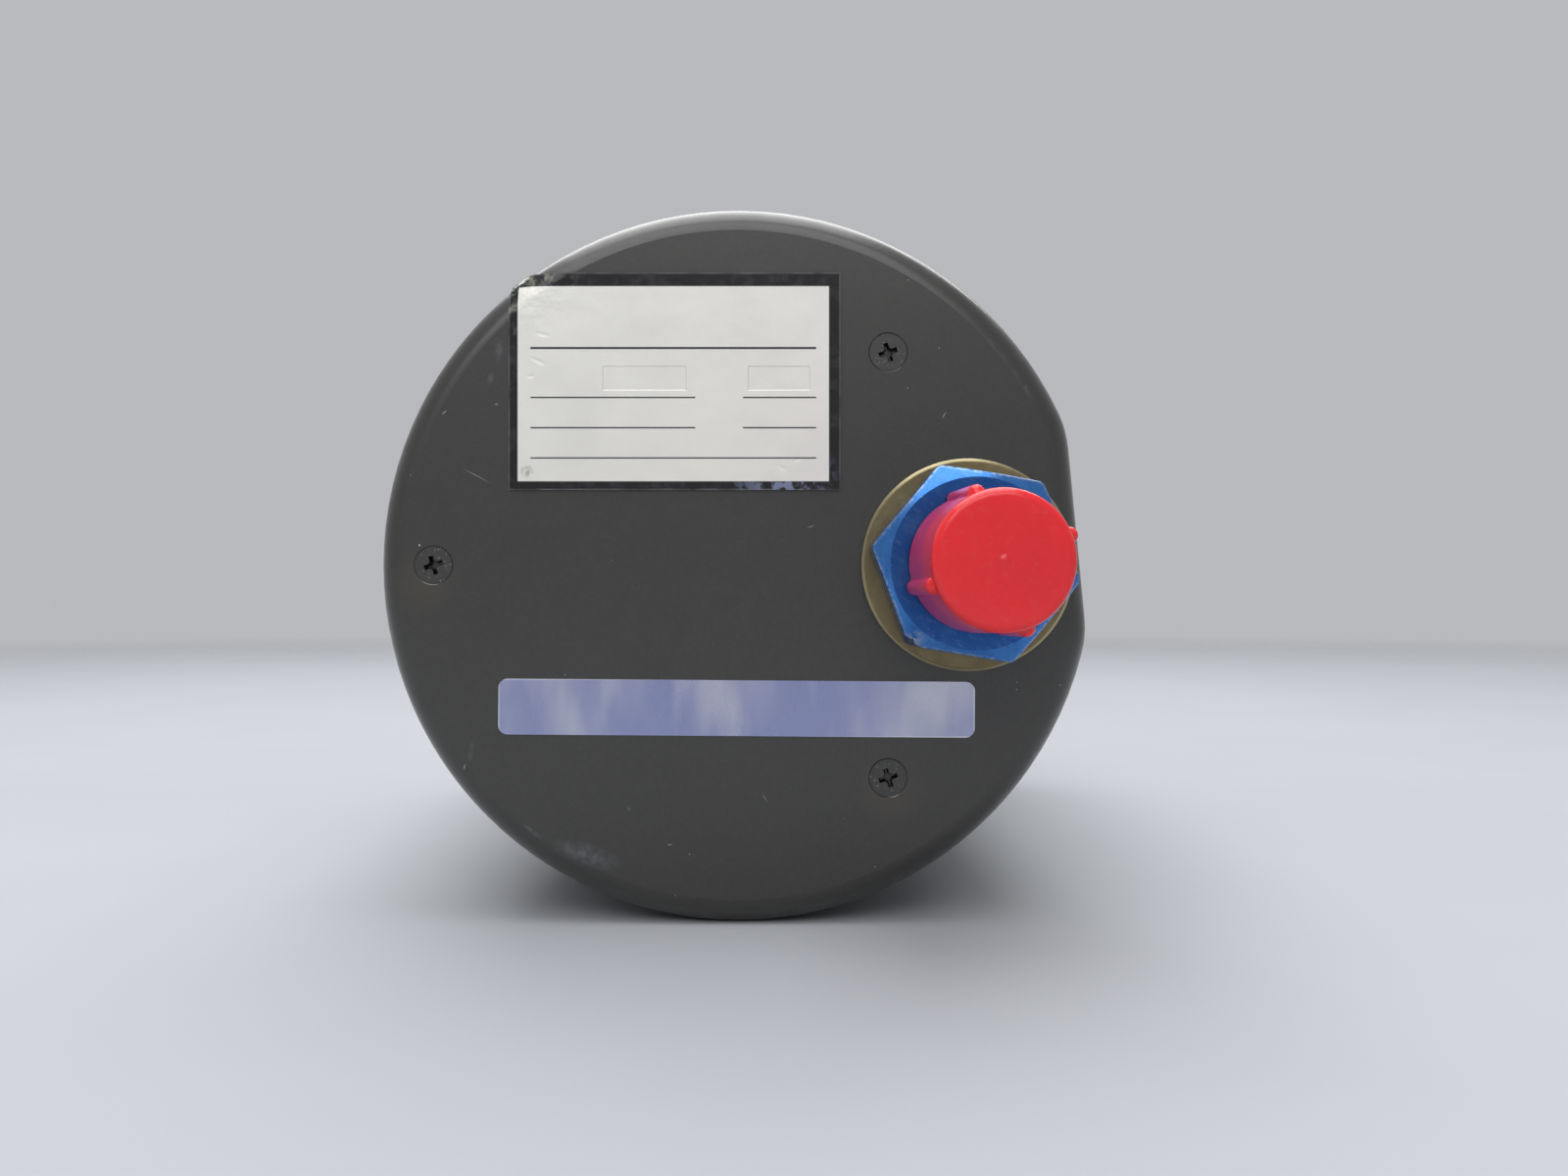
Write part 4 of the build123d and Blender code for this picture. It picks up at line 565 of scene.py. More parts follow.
def data_plate_foil():
    """Self-adhesive foil plate: silver field inside a black film border, dented and lifted at a corner, with
    painted glints on the lifted corner and painted highlight streaks on the lower border.
    """
    look = Finish("printed_foil_plate")
    field = look.inside_box((-10.0, 24.0), (9.15, 30.45))
    film = look.outside(field)
    cut_edge = look.outside(look.inside_box((-11.13, 24.86), (8.32, 31.8)))
    # The lifted corner is crumpled in relief and carries painted glints.
    corner = look.spot((24.0, CASE_END, 31.0), 0.5, 7.0)
    # Bluish-white streaks on the lower border are painted highlights.
    glint_foot = look.spot((-5.0, CASE_END, 8.6), 1.0, 6.5)
    streak_glints = look.times(look.patches(0.9, 0.46, 0.56), glint_foot, film)
    smears = look.times(look.patches(1.3, 0.5, 0.7), film)
    look.paint(
        "#141315",
        (smears, "#3d3b3f", 0.5),
        # Greenish pale flecks on the lifted corner are painted glints.
        (look.times(look.patches(1.3, 0.5, 0.62), corner, film), "#8f9682"),
        (streak_glints, "#8f9abb", 0.7),
        (look.times(cut_edge, look.patches(2.5, 0.25, 0.6)), "#77777a", 0.6),
        (field, chosen("plate")),
        (look.times(look.patches(7.0, 0.45, 0.7), field), "#cfcecb", 0.2),
        (look.times(look.specks(3.2, 0.10, 0.08), field), "#8f8d86"),
        (look.times(look.spot((23.0, CASE_END, 10.2), 0.2, 0.9), look.patches(0.5, 0.4, 0.6)), "#9a9890"),
    )
    look.spread(field, 0.0, 0.15, "Metallic")
    look.spread(field, 0.18, 0.38)
    inputs = {0: look.inside_box((5.6, 14.7), (19.1, 21.7)), 1: look.inside_box((-7.9, -1.2), (19.1, 21.7))}
    stamped = node(look.tree, "ShaderNodeMath", inputs, operation="ADD").outputs[0]
    dents = look.any_of(*(look.stroke(*ellipse) for ellipse in DENTS))
    look.relief(
        (look.patches(6.0, 0.2, 0.8), 0.07),
        (look.times(look.patches(1.9), corner), 0.12),
        (dents, -0.03),
        (stamped, -0.06),
        (look.patches(0.3), 0.002),
    )
    return look.material


def metallised_film():
    """Metallised polyester strip: silver-violet, with soft bands of darker blue and paler tone across it as
    painted reflections, fine bright specks.
    """
    look = Finish("metallised_polyester_film", Metallic=0.92)
    (low_x, high_x), (low_z, high_z) = cad_range("foil_strip", 0), cad_range("foil_strip", 2)
    rim = 0.12
    inner = look.inside_box((low_x + rim, high_x - rim), (low_z + rim, high_z - rim))
    edge = look.outside(inner)
    inputs = {"Vector": look.place, "Scale": (1, 1, 0.3), "Rotation": (0, 0.25, 0)}
    across = node(look.tree, "ShaderNodeMapping", inputs).outputs[0]
    look.paint(
        chosen("strip"),
        # Darker blue and paler bands across the strip are painted reflections.
        (look.patches(9.0, 0.38, 0.62, place=across), "#969cc4"),
        (look.patches(6.0, 0.5, 0.66, 2.0, place=across), "#cfd0dc", 0.6),
        (look.specks(1.5, 0.07, 0.16), "#f4f5f8"),
        (edge, "#e3e5ec", 0.8),
    )
    look.spread(look.patches(5.0, place=across), 0.2, 0.34)
    look.relief((look.patches(10.0, 0.2, 0.8), 0.05))
    return look.material


def turned_brass():
    """Turned brass with a light tarnish: warm metal with fine tool lines."""
    look = Finish("turned_brass", Metallic=1.0)
    look.paint(
        "#c8a562",
        (look.patches(3.0, 0.35, 0.65), "#b9924f"),
        (look.patches(0.7, 0.55, 0.66), "#94713b", 0.5),
    )
    look.spread(look.patches(1.0), 0.24, 0.40)
    look.relief((look.hairlines(3.0, 0.25, 0.05, math.pi / 2), 0.003))
    return look.material


def rolled_bronze():
    """Rolled beryllium bronze strip: reddish gold, heat-tinted after hardening."""
    look = Finish("rolled_beryllium_bronze", Metallic=1.0)
    look.paint("#bd8f5c", (look.patches(5.0), "#a97a4f"), (look.patches(1.5, 0.5, 0.65), "#7f6a74", 0.4))
    look.spread(look.patches(2.0), 0.26, 0.38)
    look.relief((look.hairlines(6.0, 0.2, 0.06), 0.002))
    return look.material


def ground_steel():
    """Ground and polished steel: cool bright metal with faint grinding lines."""
    look = Finish("ground_steel", Metallic=1.0)
    lines = look.hairlines(4.0, 0.2, 0.05)
    look.paint("#b9babc", (look.patches(2.5, 0.35, 0.65), "#a8a9ac"), (lines, "#d4d5d7", 0.3))
    look.spread(look.patches(1.2), 0.20, 0.32)
    look.relief((lines, 0.002))
    return look.material


def milled_alloy():
    """Milled aluminium plate, clear anodised: pale grey with the cutter's sweeps still visible."""
    look = Finish("milled_clear_anodised_aluminium", Metallic=1.0)
    sweeps = look.hairlines(12.0, 0.35, 0.06, 0.35)
    look.paint("#c2c3c4", (look.patches(8.0, 0.35, 0.65), "#b4b5b7"), (sweeps, "#d6d7d8", 0.35))
    look.spread(look.patches(3.0), 0.32, 0.44)
    look.relief((sweeps, 0.004), (look.patches(0.3), 0.003))
    return look.material


def nitrile_rubber():
    """Moulded nitrile rubber: dull black with a dusty bloom."""
    look = Finish("moulded_nitrile_rubber", IOR=1.52)
    look.paint("#1b1b1c", (look.patches(1.5, 0.45, 0.65), "#2c2c2d", 0.5))
    look.spread(look.patches(2.0), 0.6, 0.75)
    look.relief((look.patches(0.4), 0.006))
    return look.material


def window_glass():
    """Polished float glass with an anti-reflection bloom: clear, with a few dust specks and wipe marks."""
    look = Finish("polished_window_glass", Base_Color=shade("#f6faf8"), IOR=1.5, Transmission_Weight=1.0)
    wiped = look.hairlines(16.0, 2.0, 0.02, 0.5)
    dust = look.specks(4.0, 0.10, 0.15)
    haze = look.any_of(look.times(wiped, 0.2), dust)
    look.spread(haze, 0.01, 0.35)
    look.relief((look.patches(20.0, 0.2, 0.8), 0.004))
    return look.material


def dial_print():
    """Aluminium disc sprayed dead-matt black, the ground of the dial's print."""
    look = Finish("dead_matt_dial_paint")
    look.paint("#131314", (look.patches(10.0), "#18181a"), (look.specks(4.0, 0.06, 0.06), "#4b4b4c"))
    look.spread(look.patches(2.0), 0.72, 0.85)
    look.relief((look.patches(0.15, 0.2, 0.8), 0.004))
    return look.material


def white_marking():
    """Screen-printed white ink, slightly cream with age."""
    look = Finish("screen_printed_white_ink")
    look.paint(chosen("marks"), (look.patches(2.0, 0.4, 0.7), "#d9d6c9", 0.5))
    look.spread(look.patches(0.8), 0.5, 0.65)
    look.relief((look.patches(0.2, 0.2, 0.8), 0.004))
    return look.material


def pointer_paint():
    """Blanked aluminium pointer: white blade, with black paint on its hub and tail."""
    look = Finish("two_colour_pointer_paint")
    tail = look.band(look.along(0), -5.05, -4.95)
    look.paint(chosen("marks"), (look.patches(2.0, 0.45, 0.7), "#d8d5c8", 0.4), (tail, "#161617"))
    look.spread(look.patches(1.0), 0.45, 0.6)
    look.relief((look.patches(0.25, 0.2, 0.8), 0.005))
    return look.material


def synthetic_ruby():
    """Polished synthetic ruby: deep red, glassy."""
    look = Finish("polished_synthetic_ruby", IOR=1.76, Transmission_Weight=0.35, Coat_Weight=0.3)
    look.paint("#a3142f", (look.patches(1.5), "#8a0f2a"))
    look.spread(look.patches(0.5), 0.04, 0.12)
    return look.material


def black_ink():
    """Black ink screened on foil."""
    look = Finish("screened_black_ink")
    look.paint("#232326", (look.patches(0.5, 0.5, 0.65), "#3c3c40", 0.5))
    look.spread(look.patches(0.8), 0.4, 0.55)
    return look.material


CASE_FINISHES = {
    lacquered_can: ["case_can"],
    lacquered_screw: ["rear_screws"],
    bezel_paint: ["bezel", "retaining_ring"],
    black_oxide: ["dial_screws", "zero_adjuster"],
    yellow_chromate: ["port_fitting"],
    blue_anodising: ["adapter"],
    red_polyethylene: ["cap"],
    data_plate_foil: ["data_plate"],
    metallised_film: ["foil_strip"],
    window_glass: ["glass"],
    nitrile_rubber: ["glass_gasket", "case_seal", "port_seal", "manifold_seal"],
}
MOVEMENT_FINISHES = {
    dial_print: ["dial"],
    pointer_paint: ["pointer"],
    milled_alloy: [
        "dial_pillars", "front_plate", "middle_plate", "base_plate", "capsule_bracket", "manifold",
    ],
    ground_steel: [
        "front_posts", "middle_posts", "rear_posts", "movement_screws", "pointer_staff",
        "rocking_shaft", "link", "zero_pivot", "port_nut", "pump_1_spring", "pump_2_spring",
    ],
    turned_brass: [
        "panel_inserts", "staff_bridge", "hairspring_collet", "hairspring_stud", "sector",
        "rocking_arm", "capsule_boss", "capsule_stem", "capsule_tube", "crossover_tube", "inlet_tube",
        "leak_restrictor", "pump_lids", "zero_lever", "pump_1_body", "pump_1_piston", "pump_2_body",
        "pump_2_piston",
    ],
    rolled_bronze: ["hairspring", "capsule_front", "capsule_rear", "zero_spring"],
    synthetic_ruby: ["jewel_bushes"],
}


@functools.cache
def finish(build):
    """Material of a finish, made the first time that it is asked for."""
    return build()


def finish_nodes(table):
    """Gives each CAD node of the table its material."""
    for build, names in table.items():
        for name in names:
            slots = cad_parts[name].data.materials
            slots.clear()
            slots.append(finish(build))


def skin(points, columns, poles=False):
    """Faces over a grid of points whose columns close on themselves, turned to face outwards. Its rows
    close too, unless the last two points are poles, which close the first and the last row."""
    rows = (len(points) - 2 * poles) // columns
    row = np.arange(rows - 1 if poles else rows)[:, None]
    column = np.arange(columns)[None, :]
    beside = (column + 1) % columns
    after = (row + 1) % rows
    corners = [(row, column), (row, beside), (after, beside), (after, column)]
    faces = np.stack([down * columns + along for down, along in corners], axis=-1).reshape(-1, 4)
    middle = points - points.mean(axis=0)
    first, second, third, fourth = (middle[faces[:, side]] for side in range(4))
    outward = np.einsum("ij,ij->", first, np.cross(second, third) + np.cross(third, fourth)) > 0
    faces = faces.tolist()
    if poles:
        last = (rows - 1) * columns
        for one, two in zip(column[0].tolist(), beside[0].tolist()):
            faces.append([two, one, len(points) - 2])
            faces.append([last + one, last + two, len(points) - 1])
    return faces if outward else [face[::-1] for face in faces]


def around_port(rows, angle):
    """Points of rows that start with a radius and a depth, round the port's axis."""
    radius, depth = (np.array([np.broadcast_to(row[part], angle.shape) for row in rows]) for part in (0, 1))
    return np.stack([PORT_X + radius * np.cos(angle), depth, radius * np.sin(angle)], axis=-1).reshape(-1, 3)


def add_piece(name, points, faces, material, body, wear=None, crease=32, stretch=None):
    """Puts a surface worked out in millimetres into the scene and makes it ride on a body. A piece given a
    stretch, a second body with the points where it leaves the one and joins the other, only has its place
    baked into its points and rides on no body; the stretch's body and points are not used."""
    mesh = bpy.data.meshes.new(name)
    mesh.from_pydata((points * MM).tolist(), [], faces)
    if wear is not None:
        mesh.attributes.new("wear", "FLOAT", "POINT").data.foreach_set("value", wear.astype(np.float32))
    mesh.shade_smooth()
    mesh.set_sharp_from_angle(angle=math.radians(crease))
    mesh.materials.append(material)
    piece = bpy.data.objects.new(name, mesh)
    bpy.context.scene.collection.objects.link(piece)
    if stretch:
        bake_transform(piece)
    else:
        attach(piece, body)
    return piece


def thread_height(depth, angle, pitch):
    """Right-hand thread: 1 on the crest and 0 in the root. The phase grows by one each pitch along Y
    and each turn about it; the height falls in a straight line from a flat crest to a flat root."""
    peak, fall = 1.3, 3.4
    phase = (depth / pitch + angle / math.tau) % 1.0
    return np.clip(peak - fall * np.abs(phase - 0.5), 0.0, 1.0)


def adapter_surface(sizes):
    """Points, faces and wear of the hose adapter, as rows along its outline and columns round its axis.

    The hexagon's radius is the distance to a flat divided by the cosine of the angle from the middle of
    that flat. Its chamfer is a cone of thirty degrees, so the edge rises with that radius. The nipple's
    radius is its root radius plus the thread's height; both ends of the thread fade out.
    """
    flat = sizes.across_flats / MM / 2
    chamfer = sizes.chamfer_radius / MM
    top = FLANGE_TOP + sizes.hexagon_height / MM
    corner_start = math.radians(9.5)
    nick = math.radians(309.5)
    bore, shank, worn_off = 2.2, 4.0, 0.14
    nick_reach, nick_depth = math.radians(5.5), 0.55
    corners = corner_start + np.radians(np.arange(0, 360, 60))
    close = np.concatenate([corners + np.radians(shift) for shift in (-2.4, -1.1, 0, 1.1, 2.4)])
    angle = np.unique(np.concatenate([np.radians(np.arange(0, 360, 2.5)), close % math.tau]).round(6))
    from_middle = (angle - corner_start) % (math.pi / 3) - math.pi / 6
    hexagon = np.minimum(flat / np.cos(from_middle), flat / math.cos(math.pi / 6) - worn_off)
    from_nick = np.abs((angle - nick + math.pi) % math.tau - math.pi)
    nicked = np.clip(1 - from_nick / nick_reach, 0, 1)
    at_corner = np.clip((np.abs(from_middle) - math.radians(28.6)) / math.radians(1.4), 0, 1)
    slope = math.tan(math.radians(30))
    drop = (hexagon - chamfer) * slope
    low_edge, high_edge = FLANGE_TOP + drop, top - drop
    dented = hexagon - nick_depth * nicked
    dent_wear = nicked * 1.6
    root = sizes.thread_radius / MM - sizes.thread_depth / MM
    rows = [
        (bore, ADAPTER_FRONT, 0),
        (shank, ADAPTER_FRONT, 0),
        (shank, FLANGE_TOP, 0),
        (chamfer, FLANGE_TOP, 0),
        (hexagon - 0.3, low_edge - 0.3 * slope, 0),
        (hexagon - 0.05, low_edge - 0.03, 0.3),
        (hexagon, low_edge + 0.06, 0.3),
        (hexagon, low_edge + 0.4, at_corner),
        (hexagon - 0.12 * nicked, high_edge - 1.6, at_corner),
        (dented, high_edge - 0.45, np.maximum(at_corner, dent_wear)),
        (dented, high_edge - 0.06, np.maximum(0.42, dent_wear)),
        (dented - 0.06, high_edge + 0.03, np.maximum(0.42, dent_wear)),
        (hexagon - 0.35 - 0.35 * nicked, high_edge + 0.35 * slope, nicked * 0.8),
        (chamfer, top, 0),
        (7.2, top, 0),
        (5.3, top, 0),
        (root + 0.15, top + 0.12, 0),
        (root, top + 0.5, 0),
    ]
    pitch, thread = sizes.thread_pitch / MM, sizes.thread_depth / MM
    start, cone = top + 0.9, ADAPTER_END - 2.9
    fade_in, fade_out, worn_crest = 1.0, 0.7, 0.9
    for depth in np.arange(start, cone, pitch / 12):
        fade = min(1.0, (depth - start) / fade_in, (cone - depth) / fade_out)
        height = thread_height(depth, angle, pitch) * max(fade, 0.0)
        rows.append((root + thread * height, depth, 0.5 * (height > worn_crest)))
    rows += [
        (root, cone, 0),
        (root - 0.1, cone + 0.3, 0),
        (3.0, ADAPTER_END - 0.1, 0),
        (2.9, ADAPTER_END, 0.5),
        (2.3, ADAPTER_END, 0.5),
        (bore, ADAPTER_END - 0.1, 0),
    ]
    points = around_port(rows, angle)
    wear = np.concatenate([np.clip(np.broadcast_to(row[2], angle.shape), 0, 1) for row in rows])
    return points, skin(points, len(angle)), wear


def insert_surface(x, z, depths):
    """Tapped insert as rows round its outline and columns round its axis: outer radius, collar at the
    back, and a bore whose radius is the thread's outer radius less the thread's height."""
    front, rear = depths
    angle = np.radians(np.arange(0, 360, 7.5))
    full = np.ones_like(angle)
    step = rear - INSERT_COLLAR_DEPTH
    rows = [(INSERT_RADIUS, front), (INSERT_RADIUS, step), (INSERT_COLLAR_RADIUS, step)]
    rows += [(INSERT_COLLAR_RADIUS, rear), (INSERT_MOUTH_RADIUS, rear)]
    rows = [(radius * full, depth * full) for radius, depth in rows]
    for depth in np.arange(rear - 0.25, front + 0.2, -INSERT_PITCH / 10):
        height = thread_height(depth, angle, INSERT_PITCH)
        rows.append((INSERT_THREAD_RADIUS - INSERT_THREAD_DEPTH * height, depth * full))
    rows.append((INSERT_MOUTH_RADIUS * full, front * full))
    radius, depth = (np.array(part) for part in zip(*rows))
    points = np.stack([x + radius * np.cos(angle), depth, z + radius * np.sin(angle)], axis=-1).reshape(-1, 3)
    return points, skin(points, len(angle))


def cap_surface():
    """Points and faces of the cap: a cone with a rounded top edge, a blind bore and four ribs.

    A rib is a round bar that leans in with the cone, so its radius at an angle from its middle is the
    far crossing of a ray with a circle. Wall and ribs blend through a smooth maximum.
    """
    base, top = cad_range("cap", 1)
    foot_r, top_r, edge_r, bore, roof = 7.13, 6.6, 0.8, 5.63, 1.2
    half, rib_gap, sunk, drawn_in, blend = 0.8, 1.2, 0.13, 0.4, 0.02
    rib_end = top - rib_gap - half
    first_rib, rib_reach = 159.5, 9
    ribs = np.radians(first_rib - 90 * np.arange(4))
    near = np.radians(np.linspace(-rib_reach, rib_reach, 25))
    angle = np.concatenate([np.radians(np.arange(0, 360, 3.6)), (ribs[:, None] + near).ravel()]) % math.tau
    angle = np.unique(angle.round(5))
    off = np.min(np.abs((angle[:, None] - ribs + math.pi) % math.tau - math.pi), axis=1)
    turn = np.linspace(0, math.pi / 2, 7)
    lean = (foot_r - top_r) / (top - base)
    depths = np.concatenate([np.arange(base, rib_end, 0.5), np.linspace(rib_end, top - edge_r, 14)])
    wall = [(foot_r - lean * (depth - base), depth) for depth in depths]
    edge_middle = wall[-1][0] - edge_r
    wall += [(edge_middle + edge_r * math.cos(t), top - edge_r + edge_r * math.sin(t)) for t in turn[1:]]
    rows = [(bore, top - roof), (bore, base + 0.3), (bore + 0.3, base)]
    for radius, depth in wall:
        share = min((depth - base) / (rib_end - base), 1)
        middle = foot_r - sunk - drawn_in * share
        across = middle * np.sin(off)
        reach = half**2 - max(depth - rib_end, 0) ** 2 - across**2
        rib = middle * np.cos(off) + np.sqrt(np.clip(reach, 0, None))
        rib = np.where(reach > 0, rib, 0)
        rows.append((0.5 * (radius + rib + np.sqrt((radius - rib) ** 2 + blend)), depth))
    rows += [(4.0, top), (1.5, top)]
    poles = [(PORT_X, top - roof, 0), (PORT_X, top, 0)]
    points = np.concatenate([around_port(rows, angle), poles])
    return points, skin(points, len(angle), poles=True)


def coil_surface(x, y, low, high):
    """Coil spring: a circle of the wire's radius carried along a helix. It climbs evenly with its angle,
    but for 0.8 of a turn at each end, where it leaves the end by no more than the wire's radius."""
    wire, turns, lead = COIL_WIRE_RADIUS, COIL_TURNS, 0.8
    along = np.linspace(0, math.tau * turns, 40 * turns + 1)[:, None]
    share = along / (math.tau * turns)
    rise = np.clip((share * turns - lead) / (turns - 2 * lead), 0, 1)
    ends = wire * 1.1 * np.minimum(share, 1 - share) * turns
    height = low + wire + (high - low - 2 * wire) * rise + np.clip(ends, 0, wire) * (0.5 - rise) * 2
    round_wire = np.linspace(0, math.tau, 12, endpoint=False)[None, :]
    reach = COIL_RADIUS + wire * np.cos(round_wire)
    height = height + wire * np.sin(round_wire)
    points = np.stack([x + reach * np.cos(along), y + reach * np.sin(along), height], axis=-1)
    columns = points.shape[1]
    poles = [points[0].mean(axis=0), points[-1].mean(axis=0)]
    points = np.concatenate([points.reshape(-1, 3), poles])
    return points, skin(points, columns, poles=True)


def merged(parts):
    """Points and faces of several surfaces as one."""
    points, faces, offset = [], [], 0
    for some_points, some_faces in parts:
        points.append(some_points)
        faces += [[index + offset for index in face] for face in some_faces]
        offset += len(some_points)
    return np.concatenate(points), faces


def printed_slab(corners, front, thickness):
    """Thin printed shape: its four corners (X, Z) at the front, and again a thickness behind."""
    corners = np.asarray(corners)
    fore = np.column_stack([corners[:, 0], np.full(4, front), corners[:, 1]])
    points = np.concatenate([fore, fore + [0, thickness, 0], [fore.mean(axis=0)], [fore.mean(axis=0)]])
    points[-1, 1] += thickness
    return points, skin(points, 4, poles=True)


def tick(angle, outer, reach, width, front):
    """Radial tick: a rectangle from the outer radius inwards, turned to its angle from nine o'clock."""
    along = np.array([-math.cos(angle), math.sin(angle)])
    across = np.array([along[1], -along[0]])
    far, near, side = along * outer, along * (outer - reach), across * width / 2
    corners = [far - side, far + side, near + side, near - side]
    return printed_slab(corners, front - PRINT_THICKNESS, PRINT_THICKNESS)


def lettering(words, height, centre, front):
    """Flat text facing -Y about a centre (X, Z), as points and faces in millimetres."""
    curve = bpy.data.curves.new("lettering", "FONT")
    curve.body = words
    curve.size = height * FONT_SIZE
    curve.align_x = "CENTER"
    curve.align_y = "CENTER"
    curve.extrude = PRINT_THICKNESS / 2
    curve.resolution_u = 6
    curve.offset = height * FONT_BOLDNESS
    holder = bpy.data.objects.new("lettering", curve)
    bpy.context.scene.collection.objects.link(holder)
    bpy.context.view_layer.update()
    mesh = bpy.data.meshes.new_from_object(holder.evaluated_get(bpy.context.evaluated_depsgraph_get()))
    flat = np.empty(len(mesh.vertices) * 3)
    mesh.vertices.foreach_get("co", flat)
    flat = flat.reshape(-1, 3)
    faces = [list(polygon.vertices) for polygon in mesh.polygons]
    points = np.column_stack(
        [flat[:, 0] + centre[0], front - PRINT_THICKNESS / 2 - flat[:, 2], flat[:, 1] + centre[1]]
    )
    bpy.data.objects.remove(holder)
    bpy.data.meshes.remove(mesh)
    bpy.data.curves.remove(curve)
    return points, faces


class FinishCase(bpy.types.Operator):
    """Gives the case, bezel, labels and fittings their materials"""

    bl_idname = "indicator.finish_case"
    bl_label = "Finish the case"

    def execute(self, context):
        finish_nodes(CASE_FINISHES)
        return {"FINISHED"}


class FinishMovement(bpy.types.Operator):
    """Gives the dial, pointer and movement their materials"""

    bl_idname = "indicator.finish_movement"
    bl_label = "Finish the movement"

    def execute(self, context):
        finish_nodes(MOVEMENT_FINISHES)
        return {"FINISHED"}


class MakeAdapter(bpy.types.Operator):
    """Makes the hose adapter with its chamfered hexagon and threaded nipple"""

    bl_idname = "indicator.make_adapter"
    bl_label = "Make the hose adapter"

    def execute(self, context):
        points, faces, wear = adapter_surface(context.scene.indicator_adapter)
        blue = finish(blue_anodising)
        piece = add_piece("adapter_body", points, faces, blue, "case", wear, crease=22)
        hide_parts("adapter")
        return {"FINISHED"}


class MakeCap(bpy.types.Operator):
    """Makes the moulded cap with its four ribs"""

    bl_idname = "indicator.make_cap"
    bl_label = "Make the thread cap"

    def execute(self, context):
        points, faces = cap_surface()
        red = finish(red_polyethylene)
        piece = add_piece("cap_shell", points, faces, red, "cap", crease=40)
        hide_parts("cap")
        return {"FINISHED"}


class MakeInserts(bpy.types.Operator):
    """Makes the four tapped panel inserts"""

    bl_idname = "indicator.make_inserts"
    bl_label = "Make the panel inserts"

    def execute(self, context):
        x = cad_range("panel_inserts", 0)[1] - INSERT_COLLAR_RADIUS
        depths = cad_range("panel_inserts", 1)
        parts = [insert_surface(side * x, way * x, depths) for side in (-1, 1) for way in (-1, 1)]
        points, faces = merged(parts)
        piece = add_piece("tapped_inserts", points, faces, finish(turned_brass), "case")
        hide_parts("panel_inserts")
        return {"FINISHED"}


class MakeSprings(bpy.types.Operator):
    """Makes the round-wire springs of the two pumps"""

    bl_idname = "indicator.make_springs"
    bl_label = "Make the pump springs"

    def execute(self, context):
        steel = finish(ground_steel)
        for number in (1, 2):
            name = f"pump_{number}_spring"
            x, y = (sum(cad_range(name, axis)) / 2 for axis in (0, 1))
            low, high = cad_range(name, 2)
            points, faces = coil_surface(x, y, low, high)
            stretch = (f"pump_{number}_piston", (x, y, low), (x, y, high))
            piece = add_piece(f"pump_{number}_coil", points, faces, steel, "case", stretch=stretch)
            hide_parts(name)
        return {"FINISHED"}


class PrintDial(bpy.types.Operator):
    """Prints the scale, numerals and legends on the dial"""

    bl_idname = "indicator.print_dial"
    bl_label = "Print the dial"

    def execute(self, context):
        sizes = context.scene.indicator_dial
        ink = finish(white_marking)
        outer = sizes.outer_radius / MM
        step = sizes.sweep / sizes.full_scale
        ticks = []
        for value in range(-sizes.full_scale, sizes.full_scale + 1):
            long = value % 5 == 0
            reach = (sizes.long_tick if long else sizes.short_tick) / MM
            width = LONG_TICK_WIDTH if long else SHORT_TICK_WIDTH
            ticks.append(tick(value * step, outer, reach, width, DIAL_FACE))
        points, faces = merged(ticks)
        add_piece("dial_ticks", points, faces, ink, "case")
        height = sizes.numeral_height / MM
        reach = sizes.numeral_radius / MM
        words = [lettering("0", height, (-reach - 0.6, 0), DIAL_FACE)]
        words.append(lettering(str(sizes.full_scale), height, (reach, 0), DIAL_FACE))
        for value in range(5, sizes.full_scale, 5):
            x = -reach * math.cos(value * step)
            z = reach * math.sin(value * step)
            words += [lettering(str(value), height, (x, side * z), DIAL_FACE) for side in (-1, 1)]
        words += [lettering(*legend, DIAL_FACE) for legend in LEGENDS]
        points, faces = merged(words)
        add_piece("dial_lettering", points, faces, ink, "case")
        return {"FINISHED"}


class RulePlate(bpy.types.Operator):
    """Rules blank lines on the data plate"""

    bl_idname = "indicator.rule_plate"
    bl_label = "Rule the data plate"

    def execute(self, context):
        parts = []
        for left, right, z, width in PLATE_LINES:
            low, high = z - width / 2, z + width / 2
            corners = [(left, low), (right, low), (right, high), (left, high)]
            parts.append(printed_slab(corners, PLATE_FACE, PLATE_INK_THICKNESS))
        points, faces = merged(parts)
        add_piece("plate_ruling", points, faces, finish(black_ink), "case")
        return {"FINISHED"}


